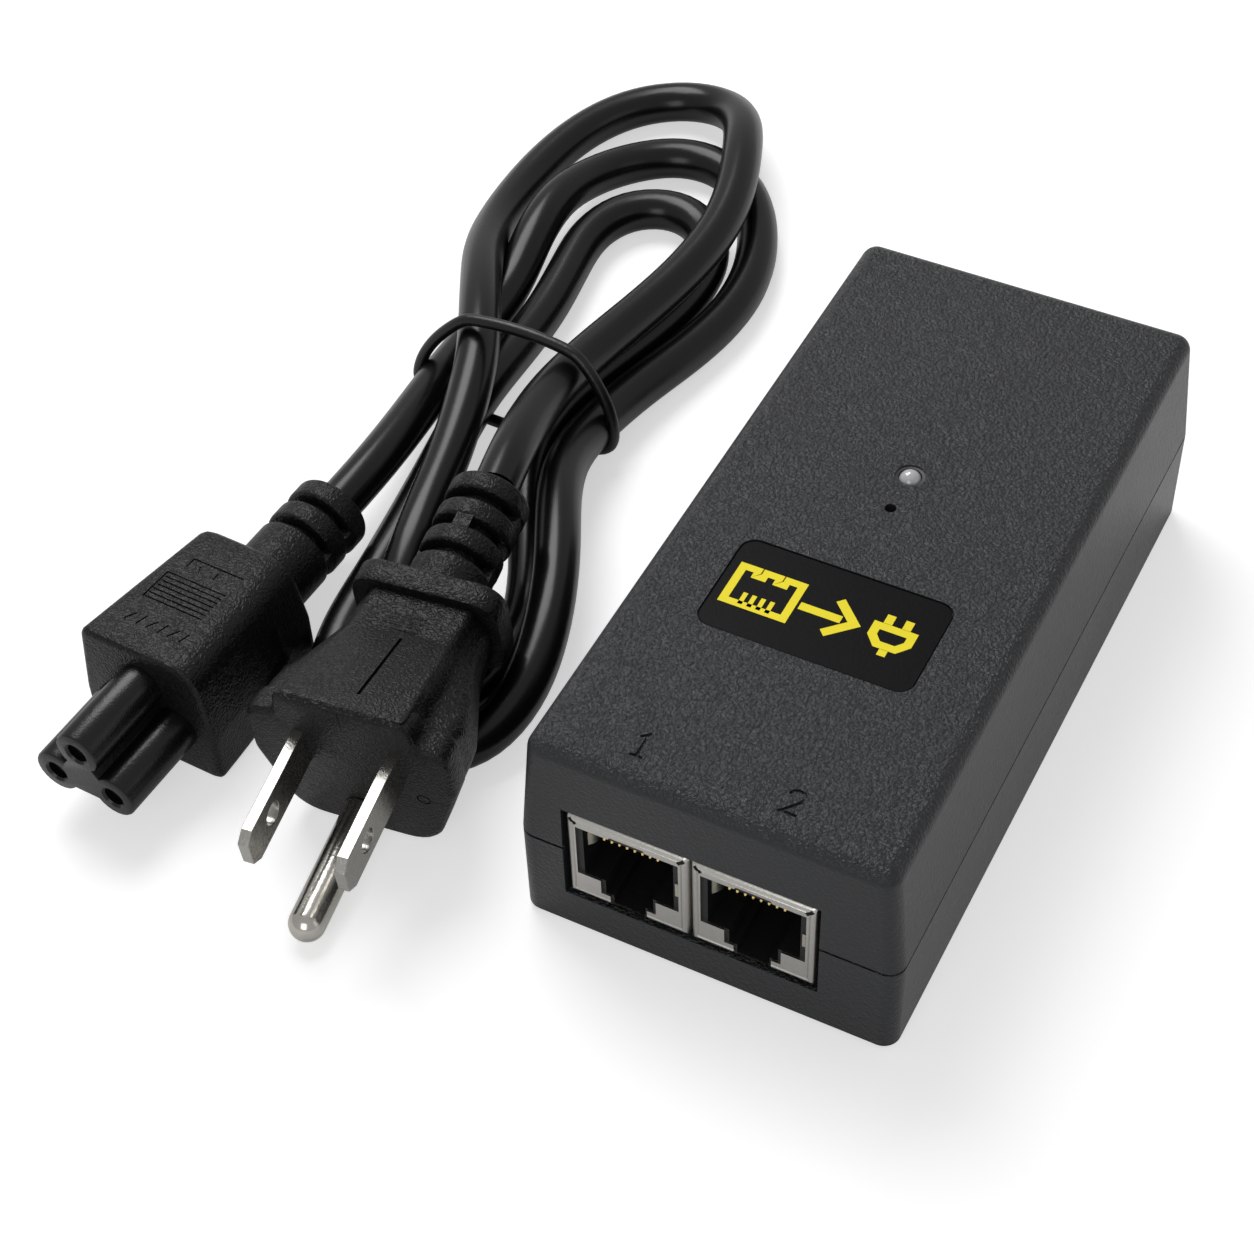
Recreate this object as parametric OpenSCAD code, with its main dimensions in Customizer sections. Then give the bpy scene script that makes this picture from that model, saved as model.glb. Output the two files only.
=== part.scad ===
// Passive power-over-Ethernet injector with its detachable mains cord.
// Origin: middle of the case's underside. X runs along the port face, Y from the port
// face to the mains inlet, Z up. All sizes are in millimetres.

/* [Case] */
// Width of the case at its parting line
case_w = 50; // [49:0.5:60]
// Length of the case
case_l = 102; // [101:1:120]
// Height of the case
case_h = 32.6; // [31.5:0.5:40]
// Height of the parting line above the underside
parting_z = 15.6; // [14:0.2:17]
// Wall of both shells
wall = 2.2; // [1.8:0.1:2.6]
// Draw-in of the top face on each long side
side_draft = 1.3; // [0.4:0.1:2]
// Draw-in of the top face at each end
end_draft = 0.4; // [0.1:0.1:1]
// Radius of the upright corners and the top edge
corner_r = 2.2; // [1.4:0.1:2.6]
// Chamfer round the underside
base_chamfer = 0.8; // [0.3:0.1:1.2]
// Height of the lip that registers the shells
lip_h = 1.6; // [1:0.1:2.5]
// Thickness of that lip
lip_t = 0.9; // [0.7:0.1:1.1]
// Shadow gap along the parting line
seam_gap = 0.4; // [0.2:0.1:0.8]

/* [Top face] */
// Width of the label
label_w = 28; // [20:1:34]
// Length of the label along the case
label_l = 15.4; // [12:0.5:18]
// Corner radius of the label
label_r = 2; // [1:0.2:4]
// Thickness of the label film
label_t = 0.35; // [0.2:0.05:0.5]
// Depth of the recess that takes the label
label_recess = 0.5; // [0.4:0.1:0.8]
// Middle of the label, in front of the case's middle
label_y = 17.1; // [15:0.5:19]
// Diameter of the status LED's lens
led_d = 3; // [2.8:0.1:3.6]
// Distance of the LED behind the case's middle
led_y = 9.2; // [8.8:0.2:11]
// Distance of the reset button behind the case's middle
reset_y = 2.8; // [2:0.2:3.2]
// Diameter of the pinhole over the reset button
pinhole_d = 1.5; // [1.2:0.1:2]

/* [Jacks] */
// Width of one shielded jack
jack_w = 16.2; // [15.8:0.1:16.3]
// Height of a jack above the board
jack_h = 15; // [14.6:0.1:16]
// Depth of a jack
jack_l = 21; // [19:0.5:22]
// Spacing of the two jacks
jack_pitch = 16.5; // [16.4:0.1:17.5]
// Sideways place of the pair on the port face
jack_pair_x = -1.9; // [-3:0.1:1]
// Sheet thickness of the shields
shield_t = 0.4; // [0.3:0.05:0.5]
// Width of the plug cavity
cavity_w = 12; // [11.8:0.1:12.4]
// Height of the plug cavity
cavity_h = 8.4; // [8:0.1:8.8]
// Width of the latch step under the cavity
latch_w = 6.4; // [6:0.1:7]
// Pitch of the jack contacts
contact_pitch = 1.02; // [1:0.01:1.05]
// Gap between the jacks and the case round them
window_gap = 0.5; // [0.3:0.1:0.8]

/* [Board] */
// Height of the posts under the board
post_h = 3.4; // [3:0.1:4]
// Thickness of the board
board_t = 1.6; // [1.2:0.1:2]
// Clearance between the board and the walls
board_gap = 0.5; // [0.3:0.1:0.8]
// Thickness of the insulation sheet on the floor
sheet_t = 0.4; // [0.2:0.1:0.6]

/* [Screws] */
// Shank diameter of the case screws
case_screw_d = 2.6; // [2.2:0.1:2.9]
// Outer diameter of the screw bosses
boss_d = 6.4; // [6:0.1:7]
// Shank diameter of the board screws
board_screw_d = 2; // [1.6:0.1:2.4]

/* [Mains inlet] */
// Width of the inlet body
inlet_w = 20.4; // [19:0.2:22]
// Height of the inlet body
inlet_h = 17.4; // [17:0.2:19]
// Length of the inlet body
inlet_l = 20; // [18:0.5:21]
// Depth of the recess that takes the connector
inlet_depth = 14.6; // [14:0.1:15]
// Spacing of the two current pins
inlet_pitch = 9; // [8.8:0.1:9.2]
// Height of the earth pin above the current pins
earth_rise = 6; // [5.8:0.1:6.2]
// Diameter of the inlet's pins
inlet_pin_d = 2.4; // [2:0.1:2.6]

/* [Power parts] */
// Diameter of the high-voltage capacitor
bulk_d = 10; // [8:0.5:10.5]
// Height of the high-voltage capacitor
bulk_h = 16; // [12:1:19]
// Diameter of the output capacitors
out_cap_d = 8; // [6:0.5:8.5]
// Height of the output capacitors
out_cap_h = 12; // [9:0.5:16]
// Width of the transformer core
core_w = 17; // [16:0.5:18]
// Height of the transformer core
core_h = 16; // [15:0.5:18]
// Thickness of the transformer core
core_t = 5; // [4:0.5:6]
// Outer diameter of the choke ring
choke_d = 9.6; // [9:0.2:10.4]
// Height of the heat sinks
sink_h = 17; // [16.5:0.5:19]
// Length of the heat sinks
sink_l = 12; // [11:0.5:13]
// Diameter of the fuse
fuse_d = 8.4; // [7:0.2:8.6]
// Width of the line filter capacitor
filter_w = 13; // [10:0.5:14]

/* [Cord set] */
// Diameter of the cord
cord_d = 6.4; // [6:0.1:6.4]
// Diameter of the tie round the bundle
tie_d = 1.8; // [1.4:0.1:1.8]
// Diameter of the rings of the strain reliefs
relief_d = 11.4; // [9.5:0.1:11.4]
// Diameter of the strain reliefs between the rings
relief_core_d = 7.8; // [7:0.1:8.4]

/* [Appliance connector] */
// Length of the moulded body
c5_body_l = 23; // [20:0.5:25]
// Width across the underside at the nose
c5_front_w = 21; // [20:0.5:21]
// Height at the nose
c5_front_h = 20; // [19.5:0.5:21]
// Width across the underside at the cord
c5_rear_w = 18; // [16:0.5:18]
// Height at the cord
c5_rear_h = 16.8; // [15.5:0.1:17.5]
// Length of the nose
nose_l = 13.6; // [12:0.2:14]
// Radius of the nose's three lobes
lobe_r = 3.2; // [3:0.1:3.3]
// Diameter of the contact holes in the nose
socket_d = 2.9; // [2.8:0.1:3.2]
// Length of the connector's strain relief
c5_relief_l = 19.5; // [18:0.5:22]

/* [Mains plug] */
// Distance between the flat blades
blade_pitch = 12.7; // [12.5:0.1:12.9]
// Width of a blade
blade_w = 6.35; // [6.2:0.05:6.5]
// Thickness of a blade
blade_t = 1.5; // [1.4:0.05:1.65]
// Free length of a blade
blade_l = 16.6; // [15.9:0.1:18.2]
// Diameter of the ground pin
ground_d = 4.8; // [4.6:0.05:4.9]
// Free length of the ground pin
ground_l = 19.8; // [19:0.1:21.4]
// Distance of the ground pin from the blades' middle line
ground_drop = 11.9; // [11.8:0.05:12]
// Width of the plug's face
plug_w = 27.4; // [25:0.2:28]
// Height of the plug's face above the blades' middle line
plug_rise = 10; // [9:0.1:10.4]
// Length of the grip behind the face
grip_l = 24.4; // [23:0.2:25]
// Width of the collar behind the grip
collar_w = 20.8; // [20.2:0.2:22]
// Height of the collar
collar_h = 14.2; // [13:0.2:14.4]
// Length of the collar
collar_l = 3.6; // [3.2:0.2:5]
// Length of the plug's strain relief
plug_relief_l = 20; // [18:0.5:21]

/* [Hidden] */

$fn = 48;
hull_fn = 32;   // facets round a hull's own corners
eps = 0.01;     // how far a cutter runs past a face
fit = 0.05;     // close clearance between two pieces of one body
free_fit = 0.3; // clearance between a moving piece and its neighbours

// colours
case_grey = [0.22, 0.23, 0.24];
cord_black = [0.07, 0.07, 0.08];
nickel = [0.78, 0.76, 0.72];
gold = [0.83, 0.66, 0.28];
board_green = [0.10, 0.36, 0.20];
insulator_black = [0.06, 0.06, 0.07];

// levels and inner faces of the case
board_z = wall + post_h;
board_top = board_z + board_t;
ceiling_z = case_h - wall;
inner_w = case_w - 2 * wall;
inner_l = case_l - 2 * wall;
front_y = -case_l / 2;
rear_y = case_l / 2;
inlet_front_y = rear_y - inlet_l;
row_gap = 0.8;      // air between neighbours on the board

// jacks: they stand on the board and look out through the port face
jack_face_y = front_y + 0.2;
jack_rear_y = jack_face_y + jack_l;
poe_x = jack_pair_x - jack_pitch / 2;
lan_x = jack_pair_x + jack_pitch / 2;
pair_w = jack_pitch + jack_w;
cavity_z = 4.2;     // height of the cavity floor above the jack's underside
cavity_l = 13.6;    // depth of the plug cavity
face_mask_w = 13.6; // width of the opening in the shield
face_mask_h = 8.9;  // height of the opening in the shield
latch_step_h = 2.4; // the latch step below the cavity floor
latch_slot_h = 3.8; // the latch slot below the cavity floor
n_contacts = 8;
peg_w = 1.6;
peg_y = jack_face_y + jack_l * 0.57;

// screws: two bosses behind the jacks, two beside the inlet
boss_x = inner_w / 2 - boss_d / 2 - 0.3;
boss_front_y = jack_rear_y + boss_d / 2 + 1.1;
boss_rear_y = inner_l / 2 - boss_d / 2 + 0.4;
boss_places = [for (x = [-boss_x, boss_x], y = [boss_front_y, boss_rear_y]) [x, y]];
case_hole_d = case_screw_d + 0.4;
head_d = boss_d - 1;
head_pocket_z = 6;
head_t = 1.8;
screw_reach = 7;
post_d = 5;
post_x = inner_w / 2 - post_d / 2 - 1;
post_front_y = boss_front_y + (boss_d + post_d) / 2 + row_gap;
post_rear_y = inlet_front_y + post_d;
post_places = [[-post_x, post_front_y], [post_x, post_front_y], [post_x, post_rear_y]];
board_head_d = 3.8;
board_head_t = 1.4;

// light and reset column
led_flange_d = led_d + 0.8;
led_tip_z = case_h + 0.6;
led_body_h = 5.3;
led_foot_z = led_tip_z - led_body_h;
lead_w = 0.5;
lead_pitch = 2.54;
lens_ring_d = led_d + 0.9;
switch_w = 5.6;
switch_h = 3.5;
stem_d = 3;
stem_top_z = board_top + switch_h + 1.5;
plunger_d = 2.8;
plunger_top_z = ceiling_z - 0.4;
guide_d = plunger_d + 4;
guide_l = 6;
collar_z = ceiling_z - guide_l - free_fit;
press_travel = 0.25;

// mains inlet
inlet_face_y = rear_y - 0.2;
inlet_line_z = board_top + 6.4;
inlet_lobe_r = lobe_r + 0.4;
inlet_spots = [[-inlet_pitch / 2, 0], [inlet_pitch / 2, 0], [0, earth_rise]];
tail_y = inlet_front_y - 1.2;
tail_d = 1.2;

// Parts on the board. Two columns run back from the front board screws along the long
// walls, the output parts stand in a row behind the jacks, the transformer behind them,
// and small parts stand round the light and reset column in the middle.
edge_x = inner_w / 2 - board_gap - 1;
column_y = post_front_y + post_d / 2 + 0.5;
filter_t = 6;
filter_h = 11;
winding_t = 0.9;
choke_w = choke_d + 2 * winding_t;
choke_h = 4.5;
choke_bore_d = choke_d / 2;
bridge_w = 8.4;
bridge_l = 6.4;
bridge_h = 3.2;
fuse_h = 8;
sink_base = 1.4;
sink_fin = 3.2;
sink_x = edge_x - sink_base - sink_fin;
sink_y = column_y + sink_l / 2;
tab_w = 10;
tab_t = 1.3;
tab_h = 13;
package_t = 4.4;
package_h = 9;
leg_h = 3;
choke_y = column_y + sink_l + row_gap + choke_w / 2;
bridge_y = choke_y + choke_w / 2 + row_gap + bridge_l / 2;
bulk_y = column_y + sink_l + row_gap + bulk_d / 2;
filter_y = bulk_y + bulk_d / 2 + row_gap + filter_t / 2;
fuse_y = inlet_front_y + 0.5 + fuse_d / 2;
leg_w = core_w * 0.14;
centre_leg = core_w * 0.28;
bobbin_wall = 0.8;
bobbin_foot = 1;
winding_r = core_w / 2 - leg_w - 0.2;
inductor_d = 7.6;
inductor_h = 7;
out_gap = 0.6;
out_row_w = 2 * out_cap_d + inductor_d + 2 * out_gap;
out_row_y = jack_rear_y + row_gap + out_cap_d / 2;
tr_y = out_row_y + out_cap_d / 2 + row_gap + winding_r;
disc_d = 7;
disc_t = 3.6;
disc_x = -(switch_w / 2 + 0.6 + disc_t / 2);
safety_y = tr_y + winding_r + row_gap + disc_d / 2;
varistor_y = safety_y + disc_d + row_gap;
chip_w = 3.9;
chip_l = 4.9;
opto_w = 3.6;
opto_l = 4.6;
leg_reach = 0.8;    // how far a chip's legs stand out
chip_y = led_y + led_flange_d / 2 + row_gap + chip_l / 2;
opto_y = chip_y + chip_l / 2 + row_gap + opto_l / 2;

// cord set
c5_turn = -2.8;     // heading of the appliance connector
plug_turn = 6.9;    // heading of the mains plug
plug_tip = 6.5;     // how far the plug noses down
c5_rings = [3, 4.2, 2];         // number, width and gap of the connector's rings
plug_rings = [4, 3, 1.6];       // number, width and gap of the plug's rings
rib_w = 3;
c5_axis_z = 8.2;
c5_line_z = 8.2;
grip_axis = -4;     // cord axis below the blades' middle line
face_t = 5;
shoulder_l = 8.5;
plug_drop = 16;     // face below the blades' middle line
plug_shank = 8;     // depth of the blades and pin inside the plug
ground_neck = 0.8;  // how much thinner the ground pin is inside the plug
plug_back = grip_l + collar_l + plug_relief_l;
cord_sides = 12;

// Route of the cord from the connector's strain relief to the plug's, chosen by hand.
ROUTE = [
    [-78.4, -7.9, 8.2], [-78.1, -1.5, 8.2], [-78.2, 6, 7.8], [-79.1, 15, 6.7], [-80.4, 25, 5.3],
    [-81.2, 35, 3.8], [-81.6, 44, 3.3], [-82.2, 52, 4.1], [-83.3, 60, 6.5],
    [-84, 69, 6.6], [-82.8, 78, 4.6], [-79, 85.6, 3.4], [-72.6, 90.4, 3.3],
    [-64.6, 90.2, 3.3], [-57.6, 85, 3.3], [-52.4, 76.6, 3.3], [-49.2, 67, 3.3],
    [-48.8, 57, 3.3], [-50.8, 47, 3.4], [-53.5, 37, 4], [-55.1, 25, 5.3],
    [-54, 15, 7.7], [-50, 5.5, 9.9], [-44.8, -4, 9.9], [-40.8, -14, 9],
    [-38.9, -23.5, 6.4], [-40.6, -32, 3.9], [-46, -37, 3.3], [-53.6, -38.2, 3.3],
    [-61, -35.8, 3.3], [-66.2, -30.2, 3.3], [-68.4, -22, 3.3], [-69.3, -12, 3.3],
    [-70.6, -2, 3.3], [-72, 8, 3.3], [-73, 17, 4.2], [-73.5, 25, 5.3],
    [-74, 36, 4], [-74.5, 47, 3.3], [-76, 57, 3.3], [-77.4, 66, 3.3],
    [-74.6, 74.2, 3.3], [-67.4, 77.8, 3.3], [-60.2, 74.6, 3.3], [-56.4, 67, 3.3],
    [-56, 57, 3.3], [-58, 47, 3.3], [-60.5, 36, 4.1], [-61.9, 25, 5.3],
    [-60.2, 15.5, 3.9], [-55, 6, 3.3], [-49.6, -3.5, 3.3], [-46, -12.5, 3.3],
    [-45.2, -20.6, 3.3], [-47.6, -27.2, 3.3], [-53.2, -30, 3.3], [-58.8, -27.6, 3.6],
    [-61.8, -21.4, 4.9], [-63.8, -13, 8.7], [-65.8, -3.5, 9.9], [-68, 6.5, 10],
    [-70.6, 16, 10.7], [-73.6, 25.4, 12], [-78.2, 34, 12], [-83.2, 43, 10.2],
    [-87.8, 51.5, 7.6], [-91, 61, 4.8], [-92.4, 71, 3.5], [-92.2, 81, 3.3],
    [-90.2, 91, 3.3], [-85.6, 99.4, 3.3], [-78.2, 104.2, 3.5], [-70.4, 103, 5],
    [-64.6, 96.6, 8.1], [-60.8, 88, 10.2], [-57.4, 79, 10.3], [-55.4, 69, 10],
    [-55.6, 58, 10], [-57.4, 47, 10.1], [-59.3, 36, 10.9], [-60.4, 25, 12],
    [-58.6, 14, 15.2], [-56.3, 4.6, 17.6], [-54.6, -3, 17.8]
];

// Where the tie crosses the bundle: the outer cords at its corners, as
// [centre x, centre z, distance of the tie's middle line, first angle, last angle].
tie_corners = [
    [-55.1, 5.3, 4.2, -90, 38], [-60.3, 12, 4.6, 38, 90],
    [-74.2, 12, 4.6, 90, 135], [-80.4, 5.3, 4.2, 135, 270]
];
tie_steps = 5;
tie_y = 23.8;
tie_lean = 0.2;

function unit(v) = v / norm(v);

// Heading of a swept path at point i; the ends are given.
function heading(path, i, first, last) =
    i == 0 ? first : i == len(path) - 1 ? last : unit(path[i + 1] - path[i - 1]);

// Ring of points round a path point, square to its heading.
function ring(centre, dir, r, sides) =
    let (side = unit(cross(dir, [0, 0, 1])), up = cross(side, dir))
    [for (k = [0:sides - 1]) centre + r * (cos(360 * k / sides) * side + sin(360 * k / sides) * up)];

function flatten(rows) = [for (row = rows) for (item = row) item];

// Two triangles between neighbouring rings a and b at side k.
function band(a, b, k, sides) =
    let (n = (k + 1) % sides)
    [[a * sides + k, a * sides + n, b * sides + n], [a * sides + k, b * sides + n, b * sides + k]];

// Open tube along a path, closed by a flat cap at each end.
module tube(path, d, sides, first, last) {
    count = len(path);
    points = flatten([for (i = [0:count - 1]) ring(path[i], heading(path, i, first, last), d / 2, sides)]);
    walls = flatten([for (i = [0:count - 2]) flatten([for (k = [0:sides - 1]) band(i, i + 1, k, sides)])]);
    start_cap = [for (k = [sides - 1:-1:0]) k];
    end_cap = [for (k = [0:sides - 1]) (count - 1) * sides + k];
    polyhedron(points, concat([start_cap], walls, [end_cap]));
}

// Endless tube along a closed path in a plane that leans back with height.
module endless_tube(path, d, sides) {
    count = len(path);
    points = flatten([for (i = [0:count - 1])
        let (dir = unit(path[(i + 1) % count] - path[(i + count - 1) % count]),
             out = unit(cross(dir, [0, 1, -tie_lean])), over = cross(out, dir))
        [for (k = [0:sides - 1])
            path[i] + d / 2 * (cos(360 * k / sides) * out + sin(360 * k / sides) * over)]]);
    walls = flatten([for (i = [0:count - 1])
        flatten([for (k = [0:sides - 1]) band(i, (i + 1) % count, k, sides)])]);
    polyhedron(points, walls);
}

module rounded_rect(w, l, r) {
    square([w - 2 * r, l], center = true);
    square([w, l - 2 * r], center = true);
    for (x = [-1, 1], y = [-1, 1])
        translate([x * (w / 2 - r), y * (l / 2 - r)])
            circle(r);
}

// Flat plate with the case's outline, drawn in by an inset.
module outline_plate(inset, t) {
    linear_extrude(t)
        rounded_rect(case_w - 2 * inset, case_l - 2 * inset, max(corner_r - inset, 0.6));
}

// Solid form of the upper half: straight at the parting line, drawn in and rounded on top.
module upper_form(inset, top_z, r) {
    x = case_w / 2 - side_draft - inset - r;
    y = case_l / 2 - end_draft - inset - r;
    hull() {
        translate([0, 0, parting_z])
            outline_plate(inset, eps, $fn = hull_fn);
        for (i = [-1, 1], j = [-1, 1])
            translate([i * x, j * y, top_z - r])
                sphere(r, $fn = hull_fn);
    }
}

// Solid form of the lower half with a chamfered underside.
module lower_form(inset, low_z, chamfer, top_z) {
    hull() {
        translate([0, 0, low_z])
            outline_plate(inset + chamfer, eps, $fn = hull_fn);
        translate([0, 0, low_z + chamfer])
            outline_plate(inset, top_z - low_z - chamfer, $fn = hull_fn);
    }
}

// Opening in the port face round both jacks.
module jack_window() {
    translate([jack_pair_x - pair_w / 2 - window_gap, front_y - 1, board_top - window_gap])
        cube([pair_w + 2 * window_gap, wall + 3, jack_h + 2 * window_gap]);
}

// Outline of the inlet body, which has cut top corners.
module inlet_outline(grow) {
    w = inlet_w / 2 + grow;
    cut = 4;
    polygon([[-w, -grow], [w, -grow], [w, inlet_h - cut + grow], [w - cut, inlet_h + grow],
        [-w + cut, inlet_h + grow], [-w, inlet_h - cut + grow]]);
}

// A profile drawn in X and Z, laid along Y from y to y + length.
module along_y(y, length) {
    translate([0, y + length, 0])
        rotate([90, 0, 0])
            linear_extrude(length)
                children();
}

module inlet_window() {
    along_y(rear_y - wall - 2, wall + 3)
        translate([0, board_top])
            inlet_outline(window_gap);
}

module at_bosses() {
    for (p = boss_places)
        translate([p[0], p[1], 0])
            children();
}

module at_posts() {
    for (p = post_places)
        translate([p[0], p[1], 0])
            children();
}

module upper_shell() {
    color(case_grey)
        difference() {
            union() {
                difference() {
                    upper_form(0, case_h, corner_r);
                    upper_form(wall, ceiling_z, 0.6);
                }
                at_bosses()
                    translate([0, 0, parting_z])
                        cylinder(d = boss_d, h = ceiling_z - parting_z + 0.5);
                translate([0, reset_y, ceiling_z - guide_l])
                    cylinder(d = guide_d, h = guide_l + 0.5);
            }
            translate([0, 0, parting_z - eps])
                outline_plate(wall - lip_t - 0.1, lip_h + 0.1);
            jack_window();
            inlet_window();
            at_bosses()
                translate([0, 0, parting_z - eps])
                    cylinder(d = case_screw_d + 2 * fit, h = screw_reach + 1);
            translate([0, -label_y, case_h - label_recess])
                linear_extrude(label_recess + 1)
                    rounded_rect(label_w + 0.3, label_l + 0.3, label_r + 0.15);
            translate([0, led_y, ceiling_z - 1])
                cylinder(d = led_d + 2 * fit, h = wall + 2);
            translate([0, led_y, case_h - 0.3])
                cylinder(d = lens_ring_d, h = 1);
            translate([0, led_y, ceiling_z - 1])
                cylinder(d = led_flange_d + 0.4, h = 1);
            translate([0, reset_y, ceiling_z - 1])
                cylinder(d = pinhole_d, h = wall + 2);
            translate([0, reset_y, ceiling_z - guide_l - 1])
                cylinder(d = plunger_d + 2 * fit, h = guide_l + 1);
        }
}

module lower_shell() {
    color(case_grey)
        difference() {
            union() {
                difference() {
                    union() {
                        lower_form(0, 0, base_chamfer, parting_z);
                        translate([0, 0, parting_z - eps])
                            outline_plate(wall - lip_t, lip_h + eps);
                    }
                    lower_form(wall, wall, 0.5, parting_z + lip_h + 1);
                }
                at_bosses()
                    translate([0, 0, wall - 0.5])
                        cylinder(d = boss_d, h = parting_z - wall + 0.5);
                at_posts()
                    translate([0, 0, wall - 0.5])
                        cylinder(d = post_d, h = post_h + 0.5);
            }
            translate([0, 0, parting_z - seam_gap])
                linear_extrude(seam_gap + eps)
                    difference() {
                        square([case_w + 2, case_l + 2], center = true);
                        rounded_rect(case_w - 2 * seam_gap, case_l - 2 * seam_gap, corner_r - seam_gap);
                    }
            jack_window();
            inlet_window();
            at_bosses() {
                translate([0, 0, -1])
                    cylinder(d = case_hole_d, h = parting_z + 2);
                translate([0, 0, -1])
                    cylinder(d = head_d + 0.4, h = head_pocket_z + 1);
                translate([0, 0, parting_z])
                    cylinder(d = boss_d + 0.4, h = lip_h + 1);
            }
            at_posts()
                translate([0, 0, wall])
                    cylinder(d = board_screw_d + 2 * fit, h = post_h + 1);
        }
}

// Pan-head screw pointing up, with its head's face at z = 0 and a cross recess.
module screw(d, head, head_h, length) {
    difference() {
        union() {
            cylinder(d = head, h = head_h);
            cylinder(d = d, h = head_h + length);
        }
        for (turn = [0, 90])
            rotate([0, 0, turn])
                translate([-head * 0.3, -0.3, -eps])
                    cube([head * 0.6, 0.6, head_h * 0.6]);
    }
}

module case_screws() {
    color("silver")
        at_bosses()
            translate([0, 0, head_pocket_z - head_t])
                screw(case_screw_d, head_d, head_t, parting_z + screw_reach - head_pocket_z);
}

module board_screws() {
    color("silver")
        at_posts()
            translate([0, 0, board_top + board_head_t])
                mirror([0, 0, 1])
                    screw(board_screw_d, board_head_d, board_head_t, board_t + post_h - 0.6);
}

module label_inlay() {
    color([0.05, 0.05, 0.05])
        translate([0, -label_y, case_h - label_recess])
            linear_extrude(label_t)
                rounded_rect(label_w, label_l, label_r);
}

module insulation_sheet() {
    color([0.85, 0.83, 0.75])
        translate([0, 0, wall])
            difference() {
                linear_extrude(sheet_t)
                    rounded_rect(inner_w - 3, inner_l - 3, 1.5);
                at_bosses()
                    cylinder(d = boss_d + 1, h = 3, center = true);
                at_posts()
                    cylinder(d = post_d + 1, h = 3, center = true);
            }
}

module main_board() {
    color(board_green)
        translate([0, 0, board_z])
            difference() {
                linear_extrude(board_t)
                    square([inner_w - 2 * board_gap, inner_l - 2 * board_gap], center = true);
                at_bosses()
                    cylinder(d = boss_d + 2 * board_gap, h = 9, center = true);
                at_posts()
                    cylinder(d = board_screw_d + 0.4, h = 9, center = true);
                for (p = inlet_spots)
                    translate([p[0], tail_y, 0])
                        cylinder(d = tail_d + 2 * fit, h = 9, center = true);
                for (s = [-1, 1])
                    translate([s * lead_pitch / 2, led_y, 0])
                        cylinder(d = lead_w * 2, h = 9, center = true);
                for (x = [poe_x, lan_x], s = [-1, 1])
                    translate([x + s * (jack_w - shield_t) / 2, peg_y, 0])
                        cube([shield_t + 2 * fit, peg_w + 2 * fit, 9], center = true);
            }
}

// status light -----------------------------------------------------------------

module status_led() {
    color([0.75, 0.95, 0.80])
        translate([0, led_y, led_foot_z])
            rotate_extrude()
                difference() {
                    union() {
                        square([led_flange_d / 2, 1]);
                        square([led_d / 2, led_body_h - led_d / 2]);
                        translate([0, led_body_h - led_d / 2])
                            circle(led_d / 2);
                    }
                    translate([-led_d, -led_d])
                        square([led_d, 3 * led_body_h]);
                }
}

module led_spacer() {
    color([0.90, 0.90, 0.88])
        translate([0, led_y, board_top])
            difference() {
                cylinder(d = led_flange_d, h = led_foot_z - board_top);
                for (s = [-1, 1])
                    translate([s * lead_pitch / 2, 0, -1])
                        cylinder(d = lead_w * 2, h = led_foot_z);
            }
}

module led_leads() {
    color("silver")
        for (s = [-1, 1])
            translate([s * lead_pitch / 2, led_y, (board_z - 1 + led_foot_z) / 2])
                cube([lead_w, lead_w, led_foot_z - board_z + 1], center = true);
}

// reset button -----------------------------------------------------------------

module reset_button() {
    color([0.15, 0.15, 0.16])
        translate([0, reset_y, 0]) {
            translate([0, 0, stem_top_z])
                cylinder(d = plunger_d, h = plunger_top_z - stem_top_z);
            translate([0, 0, collar_z - 1.2])
                cylinder(d = plunger_d + 1.6, h = 1.2);
        }
}

module reset_switch() {
    color([0.12, 0.12, 0.12])
        translate([0, reset_y, board_top])
            difference() {
                translate([-switch_w / 2, -switch_w / 2, 0])
                    cube([switch_w, switch_w, switch_h]);
                translate([0, 0, 1])
                    cylinder(d = stem_d + 2 * free_fit, h = switch_h);
            }
}

module switch_stem() {
    color([0.30, 0.25, 0.20])
        translate([0, reset_y, board_top + 1 + press_travel + 0.1])
            cylinder(d = stem_d, h = stem_top_z - board_top - 1 - press_travel - 0.1);
}

// jacks ------------------------------------------------------------------------

// Stepped opening of a jack: cavity, latch step and latch slot.
module port_outline(w, h, step_w, floor_z) {
    translate([-w / 2, floor_z])
        square([w, h]);
    translate([-step_w / 2, floor_z - latch_step_h])
        square([step_w, latch_step_h + eps]);
    translate([-step_w / 3, floor_z - latch_slot_h])
        square([step_w * 2 / 3, latch_slot_h]);
}

// Folded sheet round the housing: open below, with the port cut out of its face.
module jack_shield(x) {
    color(nickel)
        translate([x, 0, board_top])
            difference() {
                union() {
                    translate([-jack_w / 2, jack_face_y, 0])
                        cube([jack_w, jack_l, jack_h]);
                    for (s = [-1, 1])
                        translate([s * (jack_w - shield_t) / 2, peg_y, -board_t / 2])
                            cube([shield_t, peg_w, board_t + 1], center = true);
                }
                translate([-jack_w / 2 + shield_t, jack_face_y + shield_t, -1])
                    cube([jack_w - 2 * shield_t, jack_l - 2 * shield_t, jack_h + 1 - shield_t]);
                along_y(jack_face_y - 1, 2)
                    port_outline(face_mask_w, face_mask_h, latch_w + 1, cavity_z);
            }
}

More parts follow.
